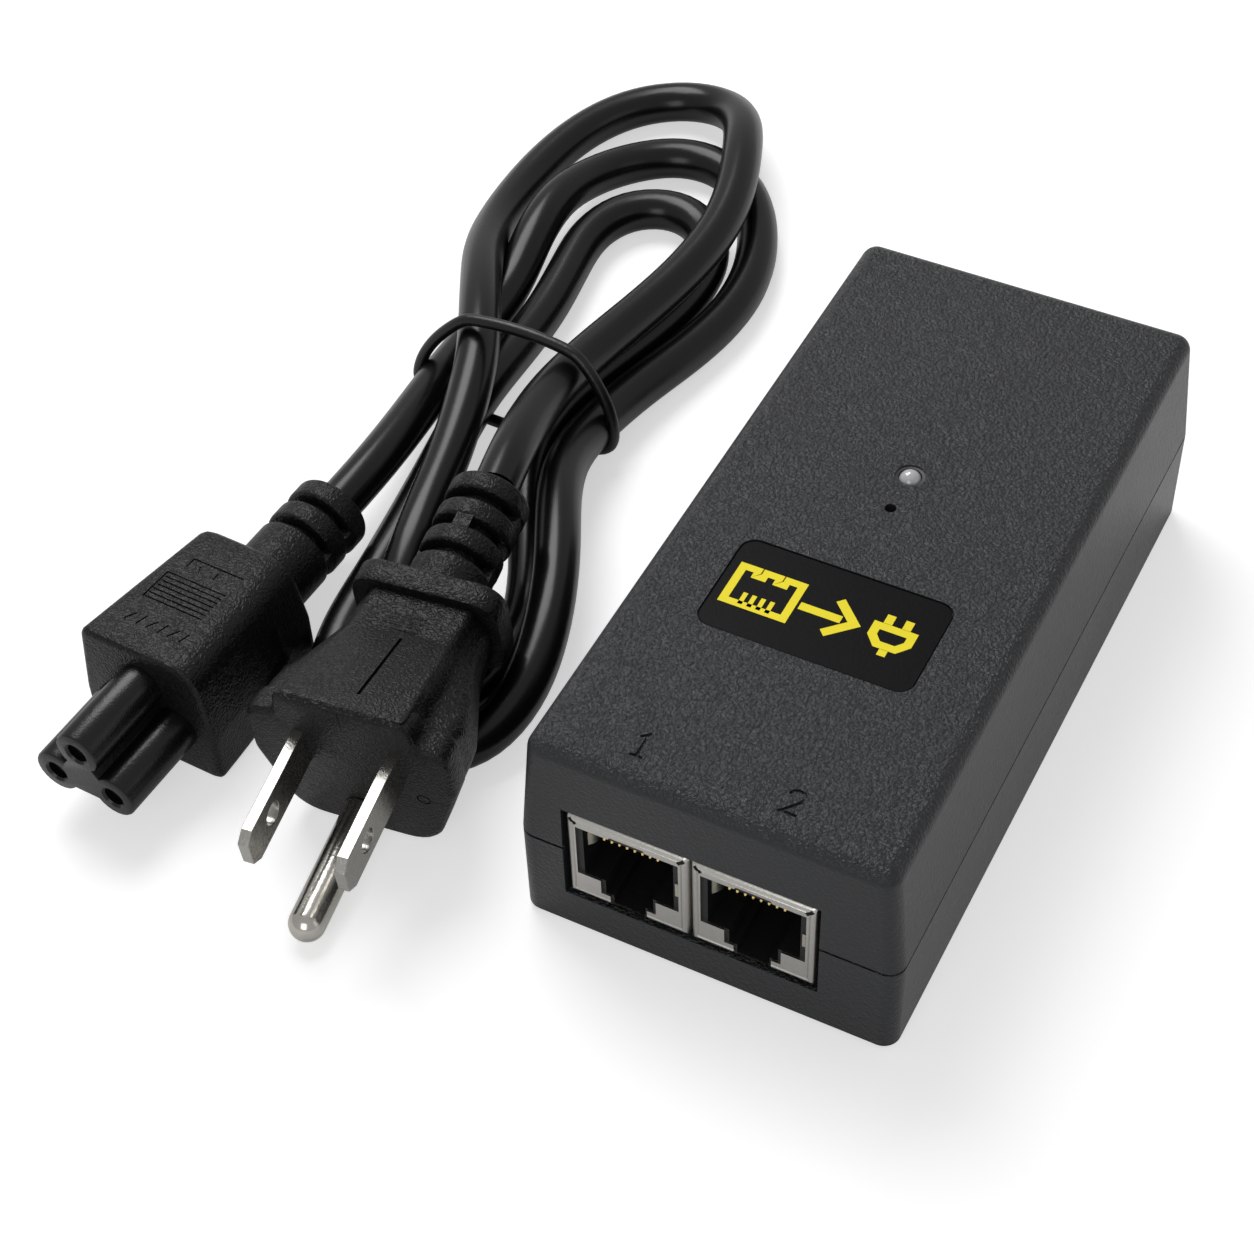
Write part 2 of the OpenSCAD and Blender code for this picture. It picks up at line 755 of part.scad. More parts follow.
// Moulded block with the plug cavity and a comb roof over the contacts.
module jack_housing(x) {
    color(insulator_black)
        translate([x, 0, board_top])
            difference() {
                translate([-jack_w / 2 + shield_t, jack_face_y + shield_t, 0])
                    cube([jack_w - 2 * shield_t, jack_l - 2 * shield_t, jack_h - shield_t]);
                along_y(jack_face_y, cavity_l)
                    port_outline(cavity_w, cavity_h, latch_w, cavity_z);
                translate([0, jack_face_y + 1.9, cavity_z + cavity_h])
                    for (i = [0:n_contacts - 1])
                        translate([(i - (n_contacts - 1) / 2) * contact_pitch - 0.34, 0, -eps])
                            cube([0.68, 6.5, 0.8]);
            }
}

// Eight sprung wires that lean down from the roof towards the back of the cavity.
module jack_contacts(x) {
    top_z = board_top + cavity_z + cavity_h;
    y0 = jack_face_y;
    color(gold)
        for (i = [0:n_contacts - 1])
            translate([x + (i - (n_contacts - 1) / 2) * contact_pitch - 0.22, 0, 0])
                rotate([90, 0, 90])
                    linear_extrude(0.44)
                        polygon([[y0 + 1.3, top_z], [y0 + 1.8, top_z], [y0 + 10.4, top_z - 2.7],
                            [y0 + cavity_l, top_z - 2.7], [y0 + cavity_l, top_z - 3.1],
                            [y0 + 10.2, top_z - 3.1], [y0 + 1.3, top_z - 0.4]]);
}

module poe_jack_shield() { jack_shield(poe_x); }
module lan_jack_shield() { jack_shield(lan_x); }
module poe_jack_housing() { jack_housing(poe_x); }
module lan_jack_housing() { jack_housing(lan_x); }
module poe_jack_contacts() { jack_contacts(poe_x); }
module lan_jack_contacts() { jack_contacts(lan_x); }

// mains inlet ------------------------------------------------------------------

// Three round lobes joined in the middle.
module lobes(r) {
    for (p = inlet_spots)
        translate(p)
            circle(r);
    polygon(inlet_spots);
    translate([-inlet_pitch / 2, -r / 2])
        square([inlet_pitch, r]);
}

module inlet_housing() {
    color(insulator_black)
        difference() {
            along_y(inlet_front_y, inlet_face_y - inlet_front_y)
                translate([0, board_top])
                    inlet_outline(0);
            along_y(inlet_face_y - inlet_depth, inlet_depth + 1)
                translate([0, inlet_line_z])
                    lobes(inlet_lobe_r);
            for (p = inlet_spots)
                translate([p[0], inlet_front_y - 1, inlet_line_z + p[1]])
                    rotate([-90, 0, 0])
                        cylinder(d = inlet_pin_d + 2 * fit, h = inlet_l);
        }
}

// Round pins with domed tips; each turns down behind the housing into the board.
module inlet_pins() {
    tip_y = inlet_face_y - 1.5 - inlet_pin_d / 2;
    color(nickel)
        for (p = inlet_spots)
            translate([p[0], 0, inlet_line_z + p[1]]) {
                translate([0, tail_y - tail_d / 2, 0])
                    rotate([-90, 0, 0]) {
                        cylinder(d = inlet_pin_d, h = tip_y - tail_y + tail_d / 2);
                        translate([0, 0, tip_y - tail_y + tail_d / 2])
                            sphere(d = inlet_pin_d);
                    }
                translate([0, tail_y, board_z - 1 - inlet_line_z - p[1]])
                    cylinder(d = tail_d, h = inlet_line_z + p[1] - board_z + 1);
            }
}

// parts on the board ------------------------------------------------------------

// Places a part on the board's upper face.
module on_board(x, y) {
    translate([x, y, board_top])
        children();
}

// Upright can with a rolled groove near its foot.
module can(d, h) {
    rotate_extrude()
        polygon([[0, 0], [d / 2 - 0.3, 0], [d / 2, 0.3], [d / 2, 1.2], [d / 2 - 0.4, 1.5],
            [d / 2, 1.8], [d / 2, h - 0.3], [d / 2 - 0.3, h], [0, h]]);
}

// Coated disc on two short leads, its faces towards the long walls.
module disc_part() {
    for (s = [-1, 1])
        translate([0, s * disc_d / 4, 0])
            cylinder(d = 0.7, h = disc_d / 2);
    translate([-disc_t / 2, 0, 1.4 + disc_d / 2])
        rotate([0, 90, 0])
            cylinder(d = disc_d, h = disc_t);
}

module fuse() {
    color([0.55, 0.30, 0.12])
        on_board(-edge_x + fuse_d / 2, fuse_y)
            can(fuse_d, fuse_h);
}

module varistor() {
    color([0.15, 0.30, 0.60])
        on_board(disc_x, varistor_y)
            disc_part();
}

module filter_capacitor() {
    color([0.80, 0.66, 0.20])
        on_board(edge_x - filter_w / 2, filter_y)
            translate([-filter_w / 2, -filter_t / 2, 0])
                cube([filter_w, filter_t, filter_h]);
}

module choke_core() {
    color([0.20, 0.40, 0.25])
        on_board(-edge_x + choke_w / 2, choke_y)
            translate([0, 0, winding_t])
                difference() {
                    cylinder(d = choke_d, h = choke_h);
                    translate([0, 0, -1])
                        cylinder(d = choke_bore_d, h = choke_h + 2);
                }
}

module choke_windings() {
    r0 = choke_bore_d / 2;
    r1 = choke_d / 2;
    color([0.72, 0.38, 0.18])
        on_board(-edge_x + choke_w / 2, choke_y)
            for (turn = [25, 205])
                rotate([0, 0, turn])
                    rotate_extrude(angle = 130)
                        difference() {
                            translate([r0 - winding_t, 0])
                                square([r1 - r0 + 2 * winding_t, choke_h + 2 * winding_t]);
                            translate([r0, winding_t])
                                square([r1 - r0, choke_h]);
                        }
}

module bulk_capacitor() {
    color([0.12, 0.14, 0.30])
        on_board(edge_x - bulk_d / 2, bulk_y)
            can(bulk_d, bulk_h);
}

module bridge_rectifier() {
    color([0.10, 0.10, 0.10])
        on_board(-edge_x, bridge_y - bridge_l / 2)
            cube([bridge_w, bridge_l, bridge_h]);
}

// Finned extrusion standing on the board, its flat side towards +X.
module heat_sink_form(length) {
    translate([-sink_base, -length / 2, 0])
        cube([sink_base, length, sink_h]);
    fins = 4;
    for (i = [0:fins - 1])
        translate([-sink_base - sink_fin, -length / 2 + i * (length - 1) / (fins - 1), 0])
            cube([sink_fin + eps, 1, sink_h]);
}

// Tab package standing with its metal tab against x = 0.
module tab_package() {
    translate([0, -tab_w / 2, leg_h])
        cube([tab_t, tab_w, tab_h]);
    translate([tab_t - eps, -tab_w / 2, leg_h])
        cube([package_t - tab_t, tab_w, package_h]);
    for (i = [-1:1])
        translate([tab_t + 0.8, i * lead_pitch - 0.35, 0])
            cube([0.6, 0.7, leg_h + eps]);
}

module primary_heat_sink() {
    color([0.70, 0.71, 0.73])
        on_board(-sink_x, sink_y)
            heat_sink_form(sink_l);
}

module switching_transistor() {
    color([0.12, 0.12, 0.12])
        on_board(-sink_x, sink_y)
            tab_package();
}

module secondary_heat_sink() {
    color([0.70, 0.71, 0.73])
        on_board(sink_x, sink_y)
            mirror([1, 0, 0])
                heat_sink_form(sink_l);
}

module output_rectifier() {
    color([0.12, 0.12, 0.12])
        on_board(sink_x, sink_y)
            mirror([1, 0, 0])
                tab_package();
}

module transformer_core() {
    side_x = core_w / 2 - leg_w;
    color([0.25, 0.25, 0.27])
        on_board(0, tr_y)
            translate([0, core_t / 2, bobbin_foot])
                rotate([90, 0, 0])
                    linear_extrude(core_t)
                        difference() {
                            translate([-core_w / 2, 0])
                                square([core_w, core_h]);
                            for (s = [-1, 1])
                                translate([s * (side_x + centre_leg / 2) / 2, core_h / 2])
                                    square([side_x - centre_leg / 2, core_h - 2 * leg_w], center = true);
                        }
}

module transformer_bobbin() {
    bore = max(centre_leg, core_t) + 2 * fit;
    low = bobbin_foot + leg_w;
    high = bobbin_foot + core_h - leg_w;
    color([0.10, 0.10, 0.11])
        on_board(0, tr_y) {
            difference() {
                union() {
                    translate([0, 0, low])
                        cylinder(r = bore * 0.71 + bobbin_wall, h = high - low);
                    for (z = [low, high - bobbin_wall])
                        translate([0, 0, z])
                            cylinder(r = winding_r, h = bobbin_wall);
                }
                translate([-bore / 2, -bore / 2, 0])
                    cube([bore, bore, 2 * core_h]);
            }
            for (s = [-1, 1])
                translate([-core_w / 2 + 2, s * (core_t / 2 + 1.4) - 1.2, 0])
                    cube([core_w - 4, 2.4, low]);
        }
}

module transformer_winding() {
    bore = max(centre_leg, core_t) + 2 * fit;
    low = bobbin_foot + leg_w + bobbin_wall;
    high = bobbin_foot + core_h - leg_w - bobbin_wall;
    color([0.90, 0.78, 0.25])
        on_board(0, tr_y)
            translate([0, 0, low])
                difference() {
                    cylinder(r = winding_r - 0.1, h = high - low);
                    translate([0, 0, -1])
                        cylinder(r = bore * 0.71 + bobbin_wall, h = high);
                }
}

module safety_capacitor() {
    color([0.20, 0.45, 0.70])
        on_board(disc_x, safety_y)
            disc_part();
}

// Flat package with a row of bent legs on two sides.
module chip(w, l, h, legs, pitch) {
    translate([-w / 2, -l / 2, 0.2])
        cube([w, l, h]);
    for (s = [-1, 1], i = [0:legs - 1])
        translate([s * (w / 2 + leg_reach / 2) - leg_reach / 2, (i - (legs - 1) / 2) * pitch - 0.2, 0])
            cube([leg_reach, 0.4, 0.5]);
}

module controller_chip() {
    color([0.09, 0.09, 0.09])
        on_board(0, chip_y)
            chip(chip_w, chip_l, 1.5, 4, lead_pitch / 2);
}

module optocoupler() {
    color([0.92, 0.92, 0.88])
        on_board(0, opto_y)
            chip(opto_w, opto_l, 3.2, 2, lead_pitch);
}

module output_capacitors() {
    color([0.10, 0.22, 0.16])
        for (i = [0, 1])
            on_board((out_cap_d - out_row_w) / 2 + i * (out_cap_d + out_gap), out_row_y)
                can(out_cap_d, out_cap_h);
}

module output_inductor() {
    color([0.30, 0.20, 0.16])
        on_board((out_row_w - inductor_d) / 2, out_row_y)
            rotate_extrude()
                difference() {
                    square([inductor_d / 2, inductor_h]);
                    translate([inductor_d / 2 - 0.6, 1])
                        square([1, inductor_h - 2]);
                }
}

// appliance connector ------------------------------------------------------------

// Puts a piece drawn in the connector's frame in its place. That frame has y = 0 at
// the end of the strain relief and -Y towards the nose.
module place_c5() {
    translate([ROUTE[0][0], ROUTE[0][1], 0])
        rotate([0, 0, c5_turn])
            children();
}

c5_rear_y = -c5_relief_l;
c5_front_y = c5_rear_y - c5_body_l;
nose_y = c5_front_y - nose_l;
c5_front_top_w = c5_front_w - 3;
c5_rear_top_w = c5_rear_w - 5;
c5_foot_r = 1.2;
c5_crown_r = 3;
c5_edge = 0.8;      // rounding of the body's front edge
c5_flat_l = 7;      // straight part of the body behind its front edge

// Cross-section of the body as four rounded rods along Y.
module c5_section(y, t, low_w, high_w, h, low_r, high_r) {
    for (s = [-1, 1]) {
        translate([s * (low_w / 2 - low_r), y, low_r])
            rotate([-90, 0, 0])
                cylinder(r = low_r, h = t, $fn = hull_fn);
        translate([s * (high_w / 2 - high_r), y, h - high_r])
            rotate([-90, 0, 0])
                cylinder(r = high_r, h = t, $fn = hull_fn);
    }
}

module at_sockets() {
    for (p = inlet_spots)
        translate([p[0], 0, c5_line_z + p[1]])
            rotate([-90, 0, 0])
                children();
}

module c5_body() {
    color(cord_black)
        place_c5()
            difference() {
                hull() {
                    c5_section(c5_front_y, 0.1, c5_front_w - c5_edge, c5_front_top_w - c5_edge,
                        c5_front_h - c5_edge / 2, c5_foot_r, c5_crown_r);
                    c5_section(c5_front_y + c5_edge, c5_flat_l, c5_front_w, c5_front_top_w,
                        c5_front_h, c5_foot_r, c5_crown_r);
                    c5_section(c5_rear_y - 2, 0.1, c5_rear_w, c5_rear_top_w, c5_rear_h, c5_foot_r, c5_crown_r);
                    c5_section(c5_rear_y - 0.1, 0.1, c5_rear_w - 3 * c5_edge, c5_rear_top_w - 3 * c5_edge,
                        c5_rear_h - 2 * c5_edge, c5_foot_r, c5_crown_r);
                }
                translate([0, c5_front_y - 1, 0])
                    at_sockets()
                        cylinder(d = socket_d, h = 7);
            }
}

module c5_nose() {
    color(cord_black)
        place_c5()
            difference() {
                along_y(nose_y, nose_l)
                    translate([0, c5_line_z])
                        lobes(lobe_r);
                translate([0, nose_y - 1, 0])
                    at_sockets()
                        cylinder(d = socket_d, h = nose_l + 2);
            }
}

// Sprung brass tubes that grip the inlet's pins.
module c5_sockets() {
    length = nose_l + 3;
    color(gold)
        place_c5()
            translate([0, nose_y + 1.4, 0])
                at_sockets()
                    difference() {
                        cylinder(d = socket_d - 2 * fit, h = length);
                        translate([0, 0, -1])
                            cylinder(d = inlet_pin_d - 0.1, h = length - 1);
                    }
}

// Ringed sleeve from y = -length to y = 0, its axis at z = 0. The last ring runs on into
// the body, and the ribs that tie the rings turn a quarter from one gap to the next.
module ringed_relief(length, rings, first_turn) {
    count = rings[0];
    ring_w = rings[1];
    pitch = ring_w + rings[2];
    edge = 0.5;
    translate([0, -length, 0])
        rotate([-90, 0, 0])
            cylinder(d = relief_core_d, h = length);
    for (i = [0:count - 1]) {
        w = i < count - 1 ? ring_w : length - i * pitch;
        translate([0, -i * pitch - w, 0])
            rotate([-90, 0, 0])
                rotate_extrude()
                    polygon([[0, 0], [relief_d / 2 - edge, 0], [relief_d / 2, edge],
                        [relief_d / 2, w - edge], [relief_d / 2 - edge, w], [0, w]]);
    }
    for (i = [0:count - 2], side = [0, 180])
        rotate([0, first_turn + 90 * i + side, 0])
            translate([-rib_w / 2, -(i + 1) * pitch - edge, 0])
                cube([rib_w, rings[2] + 2 * edge, relief_d / 2 - edge / 2]);
}

module c5_strain_relief() {
    color(cord_black)
        place_c5()
            translate([0, 0, c5_axis_z])
                ringed_relief(c5_relief_l, c5_rings, 90);
}

// mains plug ---------------------------------------------------------------------

// Puts a piece drawn in the plug's frame in its place. That frame has y = 0 at the
// plug's face, z = 0 at the blades' middle line and -Y towards the blades.
module place_plug() {
    translate(ROUTE[len(ROUTE) - 1])
        rotate([plug_tip, 0, plug_turn])
            translate([0, -plug_back, -grip_axis])
                children();
}

// Rounded rods along Y through the corners given for one side, mirrored to the other.
module rod_section(y, t, corners, inset = 0) {
    r = plug_corner_r;
    for (s = [-1, 1], p = corners)
        translate([s * (p[0] - inset - r), y, p[1] > 0 ? p[1] - inset - r : p[1] + inset + r])
            rotate([-90, 0, 0])
                cylinder(r = r, h = t, $fn = hull_fn);
}

// Shoulders at the blades, then the chin or the waist below them.
plug_corner_r = 2.2;
plug_top_w = 19.4;
chin_w = 19.4;
waist_w = 22.8;
waist_rise = plug_rise - 2.4;
waist_drop = 10.2;
grip_top_w = 13.8;
grip_side_w = 17.6;
grip_low_w = 16;
grip_rise = 1.8;
grip_drop = 9.6;
plug_edge = 0.7;    // rounding of the face's edge
shoulder_drop = 4;
face_corners = [[plug_top_w / 2, plug_rise], [plug_w / 2, plug_rise - 5],
    [plug_w / 2, -shoulder_drop], [chin_w / 2, -plug_drop]];
waist_corners = [[plug_top_w / 2, waist_rise], [plug_w / 2, waist_rise - 4],
    [plug_w / 2, -shoulder_drop], [waist_w / 2, -waist_drop]];
grip_corners = [[grip_top_w / 2, grip_rise], [grip_side_w / 2, -grip_drop / 2 - plug_corner_r],
    [grip_low_w / 2, -grip_drop]];

module plug_body() {
    color(cord_black)
        place_plug()
            difference() {
                union() {
                    hull() {
                        rod_section(0, 0.1, face_corners, plug_edge);
                        rod_section(plug_edge, face_t - plug_edge, face_corners);
                    }
                    hull() {
                        rod_section(face_t - 0.1, 0.1, face_corners);
                        rod_section(shoulder_l - 0.1, 0.1, waist_corners, plug_edge / 2);
                    }
                    hull() {
                        rod_section(shoulder_l - 0.1, 0.1, waist_corners, plug_edge / 2);
                        rod_section(grip_l - 0.1, 0.1, grip_corners);
                    }
                    translate([0, grip_l, grip_axis])
                        along_y(0, collar_l)
                            rounded_rect(collar_w, collar_h, 4);
                }
                for (s = [-1, 1])
                    translate([s * blade_pitch / 2, 0, 0])
                        cube([blade_t + 2 * fit, 2 * plug_shank, blade_w + 2 * fit], center = true);
                translate([0, -1, -ground_drop])
                    rotate([-90, 0, 0])
                        cylinder(d = ground_d - ground_neck + 2 * fit, h = plug_shank + 1);
            }
}

// Flat blades with a cross hole and a chamfered tip.
module plug_blades() {
    w = blade_w / 2;
    color(nickel)
        place_plug()
            for (s = [-1, 1])
                translate([s * blade_pitch / 2 - blade_t / 2, 0, 0])
                    rotate([90, 0, 90])
                        linear_extrude(blade_t)
                            difference() {
                                polygon([[-blade_l, -w + 1.2], [-blade_l + 1.6, -w], [plug_shank, -w],
                                    [plug_shank, w], [-blade_l + 1.6, w], [-blade_l, w - 1.2]]);
                                translate([-blade_l + 6.3, 0])
                                    circle(d = 3.2);
                            }
}

module plug_ground_pin() {
    free_l = ground_l - ground_d / 2;
    color(nickel)
        place_plug()
            translate([0, -free_l, -ground_drop])
                rotate([-90, 0, 0]) {
                    cylinder(d = ground_d, h = free_l);
                    cylinder(d = ground_d - ground_neck, h = free_l + plug_shank);
                    sphere(d = ground_d);
                }
}

module plug_strain_relief() {
    color(cord_black)
        place_plug()
            translate([0, plug_back, grip_axis])
                ringed_relief(plug_relief_l, plug_rings, 90);
}

// cord and tie -------------------------------------------------------------------

module power_cord() {
    first = [-sin(c5_turn), cos(c5_turn), 0];
    last = -[-sin(plug_turn) * cos(plug_tip), cos(plug_turn) * cos(plug_tip), sin(plug_tip)];
    color(cord_black)
        tube(ROUTE, cord_d, cord_sides, first, last);
}

module cord_tie() {
    path = flatten([for (c = tie_corners)
        [for (i = [0:tie_steps])
            let (a = c[3] + (c[4] - c[3]) * i / tie_steps, z = c[1] + c[2] * sin(a))
            [c[0] + c[2] * cos(a), tie_y + tie_lean * z, z]]]);
    color(cord_black)
        endless_tube(path, tie_d, 8);
}

upper_shell();
lower_shell();
case_screws();
label_inlay();
status_led();
led_spacer();
led_leads();
reset_button();
reset_switch();
switch_stem();
main_board();
board_screws();
insulation_sheet();
poe_jack_shield();
poe_jack_housing();
poe_jack_contacts();
lan_jack_shield();
lan_jack_housing();
lan_jack_contacts();
inlet_housing();
inlet_pins();
fuse();
varistor();
filter_capacitor();
safety_capacitor();
choke_core();
choke_windings();
bridge_rectifier();
bulk_capacitor();
transformer_core();
transformer_bobbin();
transformer_winding();
switching_transistor();
primary_heat_sink();
output_rectifier();
secondary_heat_sink();
controller_chip();
optocoupler();
output_capacitors();
output_inductor();
c5_body();
c5_nose();
c5_sockets();
c5_strain_relief();
plug_body();
plug_blades();
plug_ground_pin();
plug_strain_relief();
power_cord();
cord_tie();
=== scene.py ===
"""Looks of a PoE injector and its detachable mains cord set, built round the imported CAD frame.

The sections follow the object as it is put together: the cord set first, from the jacket
to its two moulded ends, then the injector from its case inwards to the board. A shape is
a (points, faces) pair, drawn in millimetres until it becomes a piece.
"""

import math

import bmesh
import bpy
from mathutils import Euler, Matrix, Vector


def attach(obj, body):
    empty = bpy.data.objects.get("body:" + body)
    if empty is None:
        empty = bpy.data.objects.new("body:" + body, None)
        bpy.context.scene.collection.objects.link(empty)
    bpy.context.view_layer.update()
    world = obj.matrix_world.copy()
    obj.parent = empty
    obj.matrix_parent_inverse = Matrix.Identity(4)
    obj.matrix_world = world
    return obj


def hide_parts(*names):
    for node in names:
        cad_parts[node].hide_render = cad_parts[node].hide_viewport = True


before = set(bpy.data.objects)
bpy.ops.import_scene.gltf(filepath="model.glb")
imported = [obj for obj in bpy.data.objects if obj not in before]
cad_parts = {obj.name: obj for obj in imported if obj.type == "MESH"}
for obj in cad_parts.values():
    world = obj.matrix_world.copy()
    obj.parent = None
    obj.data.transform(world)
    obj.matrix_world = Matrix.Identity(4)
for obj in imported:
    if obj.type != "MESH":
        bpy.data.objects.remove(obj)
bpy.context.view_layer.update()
MM = 0.001


# Camera, floor and studio light. ------------------------------------------------------
# The set stands on a plain pale floor under broad soft lamps, with the key lamp
# behind it and to its left, so that soft shadows fall towards the viewer's right.
scene = bpy.context.scene
scene.view_settings.view_transform = "Standard"

camera_data = bpy.data.cameras.new("camera")
camera_data.lens = 73.28
camera_data.sensor_width = 36
camera_data.clip_start = 0.01
camera = bpy.data.objects.new("camera", camera_data)
camera.location = (0.07953, -0.21032, 0.25954)
camera.rotation_euler = Euler([math.radians(a) for a in (42.3106, 1.6441, 27.1433)], "XYZ")
scene.collection.objects.link(camera)
scene.camera = camera


middle = Vector((-0.03, 0.02, 0.01))
lamp_size = 0.5
sky_strength = 0.22
sky_in_gloss = 0.4
floor_grey = 0.72
floor_glow = 0.56
floor_in_gloss = 0.35
fade_from = 0.22
fade_to = 0.42


def area_lamp(name, place, watts):
    """A square soft lamp that looks at the middle of the set."""
    data = bpy.data.lights.new(name, "AREA")
    data.size = lamp_size
    data.energy = watts
    lamp = bpy.data.objects.new(name, data)
    lamp.location = place
    lamp.rotation_euler = (middle - Vector(place)).to_track_quat("-Z", "Y").to_euler()
    scene.collection.objects.link(lamp)


area_lamp("key_lamp", (-0.40, 0.30, 0.70), 4.8)
area_lamp("front_lamp", (0.10, -0.80, 0.45), 1.7)
area_lamp("side_lamp", (0.8, 0.1, 0.35), 0.3)


def maths(tree, operation, *values):
    """One math node of a node tree, with sockets or numbers as its inputs."""
    node = tree.nodes.new("ShaderNodeMath")
    node.operation = operation
    for place, value in enumerate(values):
        if isinstance(value, (int, float)):
            node.inputs[place].default_value = value
        else:
            tree.links.new(value, node.inputs[place])
    return node.outputs[0]


def ray(tree, kind):
    """1 for rays of one kind, such as Is Glossy Ray."""
    return tree.nodes.new("ShaderNodeLightPath").outputs[kind]


def looked_at(tree):
    """1 for what the camera sees itself or through something clear."""
    return maths(tree, "MAXIMUM", ray(tree, "Is Camera Ray"), ray(tree, "Is Transmission Ray"))


# The surroundings: white to the camera, dimmer in gloss, and dimmer still as light.
world = bpy.data.worlds.new("studio")
scene.world = world
world.use_nodes = True
tree = world.node_tree
nodes, links = tree.nodes, tree.links
sky = nodes["Background"]
sky.inputs["Color"].default_value = (1, 1, 1, 1)
sky.inputs["Strength"].default_value = sky_strength
white = nodes.new("ShaderNodeBackground")
white.inputs["Color"].default_value = (1, 1, 1, 1)
white.inputs["Strength"].default_value = 1.0
mirrored = maths(tree, "MULTIPLY", ray(tree, "Is Glossy Ray"), sky_in_gloss)
mixed = nodes.new("ShaderNodeMixShader")
links.new(maths(tree, "MAXIMUM", looked_at(tree), mirrored), mixed.inputs[0])
links.new(sky.outputs[0], mixed.inputs[1])
links.new(white.outputs[0], mixed.inputs[2])
links.new(mixed.outputs[0], nodes["World Output"].inputs["Surface"])

# The floor takes the shadows near the set and fades to plain white round it.
floor_mesh = bpy.data.meshes.new("floor")
floor_mesh.from_pydata([(-4, -4, 0), (4, -4, 0), (4, 4, 0), (-4, 4, 0)], [], [(0, 1, 2, 3)])
floor = bpy.data.objects.new("floor", floor_mesh)
floor.location = (middle.x, middle.y, -0.00005)
scene.collection.objects.link(floor)
paper = bpy.data.materials.new("studio_floor")
paper.use_nodes = True
tree = paper.node_tree
nodes, links = tree.nodes, tree.links
base = nodes["Principled BSDF"]
base.inputs["Base Color"].default_value = (floor_grey, floor_grey, floor_grey, 1)
base.inputs["Roughness"].default_value = 0.9
base.inputs["Specular IOR Level"].default_value = 0.0
glow = nodes.new("ShaderNodeEmission")
shown = maths(tree, "MULTIPLY_ADD", ray(tree, "Is Glossy Ray"), floor_in_gloss, looked_at(tree))
links.new(maths(tree, "MULTIPLY", shown, floor_glow), glow.inputs["Strength"])
near = nodes.new("ShaderNodeAddShader")
links.new(base.outputs[0], near.inputs[0])
links.new(glow.outputs[0], near.inputs[1])
away = nodes.new("ShaderNodeVectorMath")
away.operation = "LENGTH"
links.new(nodes.new("ShaderNodeTexCoord").outputs["Object"], away.inputs[0])
fade = nodes.new("ShaderNodeMapRange")
fade.interpolation_type = "SMOOTHSTEP"
fade.inputs["From Min"].default_value = fade_from
fade.inputs["From Max"].default_value = fade_to
links.new(away.outputs["Value"], fade.inputs["Value"])
blank = nodes.new("ShaderNodeEmission")
backdrop = nodes.new("ShaderNodeMixShader")
links.new(maths(tree, "MULTIPLY", fade.outputs["Result"], looked_at(tree)), backdrop.inputs[0])
links.new(near.outputs[0], backdrop.inputs[1])
links.new(blank.outputs[0], backdrop.inputs[2])
links.new(backdrop.outputs[0], nodes["Material Output"].inputs["Surface"])
floor_mesh.materials.append(paper)


# Power cord. --------------------------------------------------------------------------
# Three-core mains lead with a round extruded PVC jacket. It leaves the connector,
# lies in long loops and climbs over them into the plug's sleeve.
jacket_d = 6.4 * MM
cord_route = [
    (-78.4, -7.9, 8.2), (-78.1, -1.5, 8.2), (-78.2, 6, 7.8), (-79.1, 15, 6.7), (-80.4, 25, 5.3),
    (-81.2, 35, 3.8), (-81.6, 44, 3.3), (-82.2, 52, 4.1), (-83.3, 60, 6.5), (-84, 69, 6.6),
    (-82.8, 78, 4.6), (-79, 85.6, 3.4), (-72.6, 90.4, 3.3), (-64.6, 90.2, 3.3), (-57.6, 85, 3.3),
    (-52.4, 76.6, 3.3), (-49.2, 67, 3.3), (-48.8, 57, 3.3), (-50.8, 47, 3.4), (-53.5, 37, 4),
    (-55.1, 25, 5.3), (-54, 15, 7.7), (-50, 5.5, 9.9), (-44.8, -4, 9.9), (-40.8, -14, 9),
    (-38.9, -23.5, 6.4), (-40.6, -32, 3.9), (-46, -37, 3.3), (-53.6, -38.2, 3.3),
    (-61, -35.8, 3.3), (-66.2, -30.2, 3.3), (-68.4, -22, 3.3), (-69.3, -12, 3.3),
    (-70.6, -2, 3.3), (-72, 8, 3.3), (-73, 17, 4.2), (-73.5, 25, 5.3), (-74, 36, 4),
    (-74.5, 47, 3.3), (-76, 57, 3.3), (-77.4, 66, 3.3), (-74.6, 74.2, 3.3), (-67.4, 77.8, 3.3),
    (-60.2, 74.6, 3.3), (-56.4, 67, 3.3), (-56, 57, 3.3), (-58, 47, 3.3), (-60.5, 36, 4.1),
    (-61.9, 25, 5.3), (-60.2, 15.5, 3.9), (-55, 6, 3.3), (-49.6, -3.5, 3.3), (-46, -12.5, 3.3),
    (-45.2, -20.6, 3.3), (-47.6, -27.2, 3.3), (-53.2, -30, 3.3), (-58.8, -27.6, 3.6),
    (-61.8, -21.4, 4.9), (-63.8, -13, 8.7), (-65.8, -3.5, 9.9), (-68, 6.5, 10), (-70.6, 16, 10.7),
    (-73.6, 25.4, 12), (-78.2, 34, 12), (-83.2, 43, 10.2), (-87.8, 51.5, 7.6), (-91, 61, 4.8),
    (-92.4, 71, 3.5), (-92.2, 81, 3.3), (-90.2, 91, 3.3), (-85.6, 99.4, 3.3), (-78.2, 104.2, 3.5),
    (-70.4, 103, 5), (-64.6, 96.6, 8.1), (-60.8, 88, 10.2), (-57.4, 79, 10.3), (-55.4, 69, 10),
    (-55.6, 58, 10), (-57.4, 47, 10.1), (-59.3, 36, 10.9), (-60.4, 25, 12), (-58.6, 14, 15.2),
    (-56.3, 4.6, 17.6), (-54.6, -3, 17.8),
]
cord_route = [Vector(p) * MM for p in cord_route]


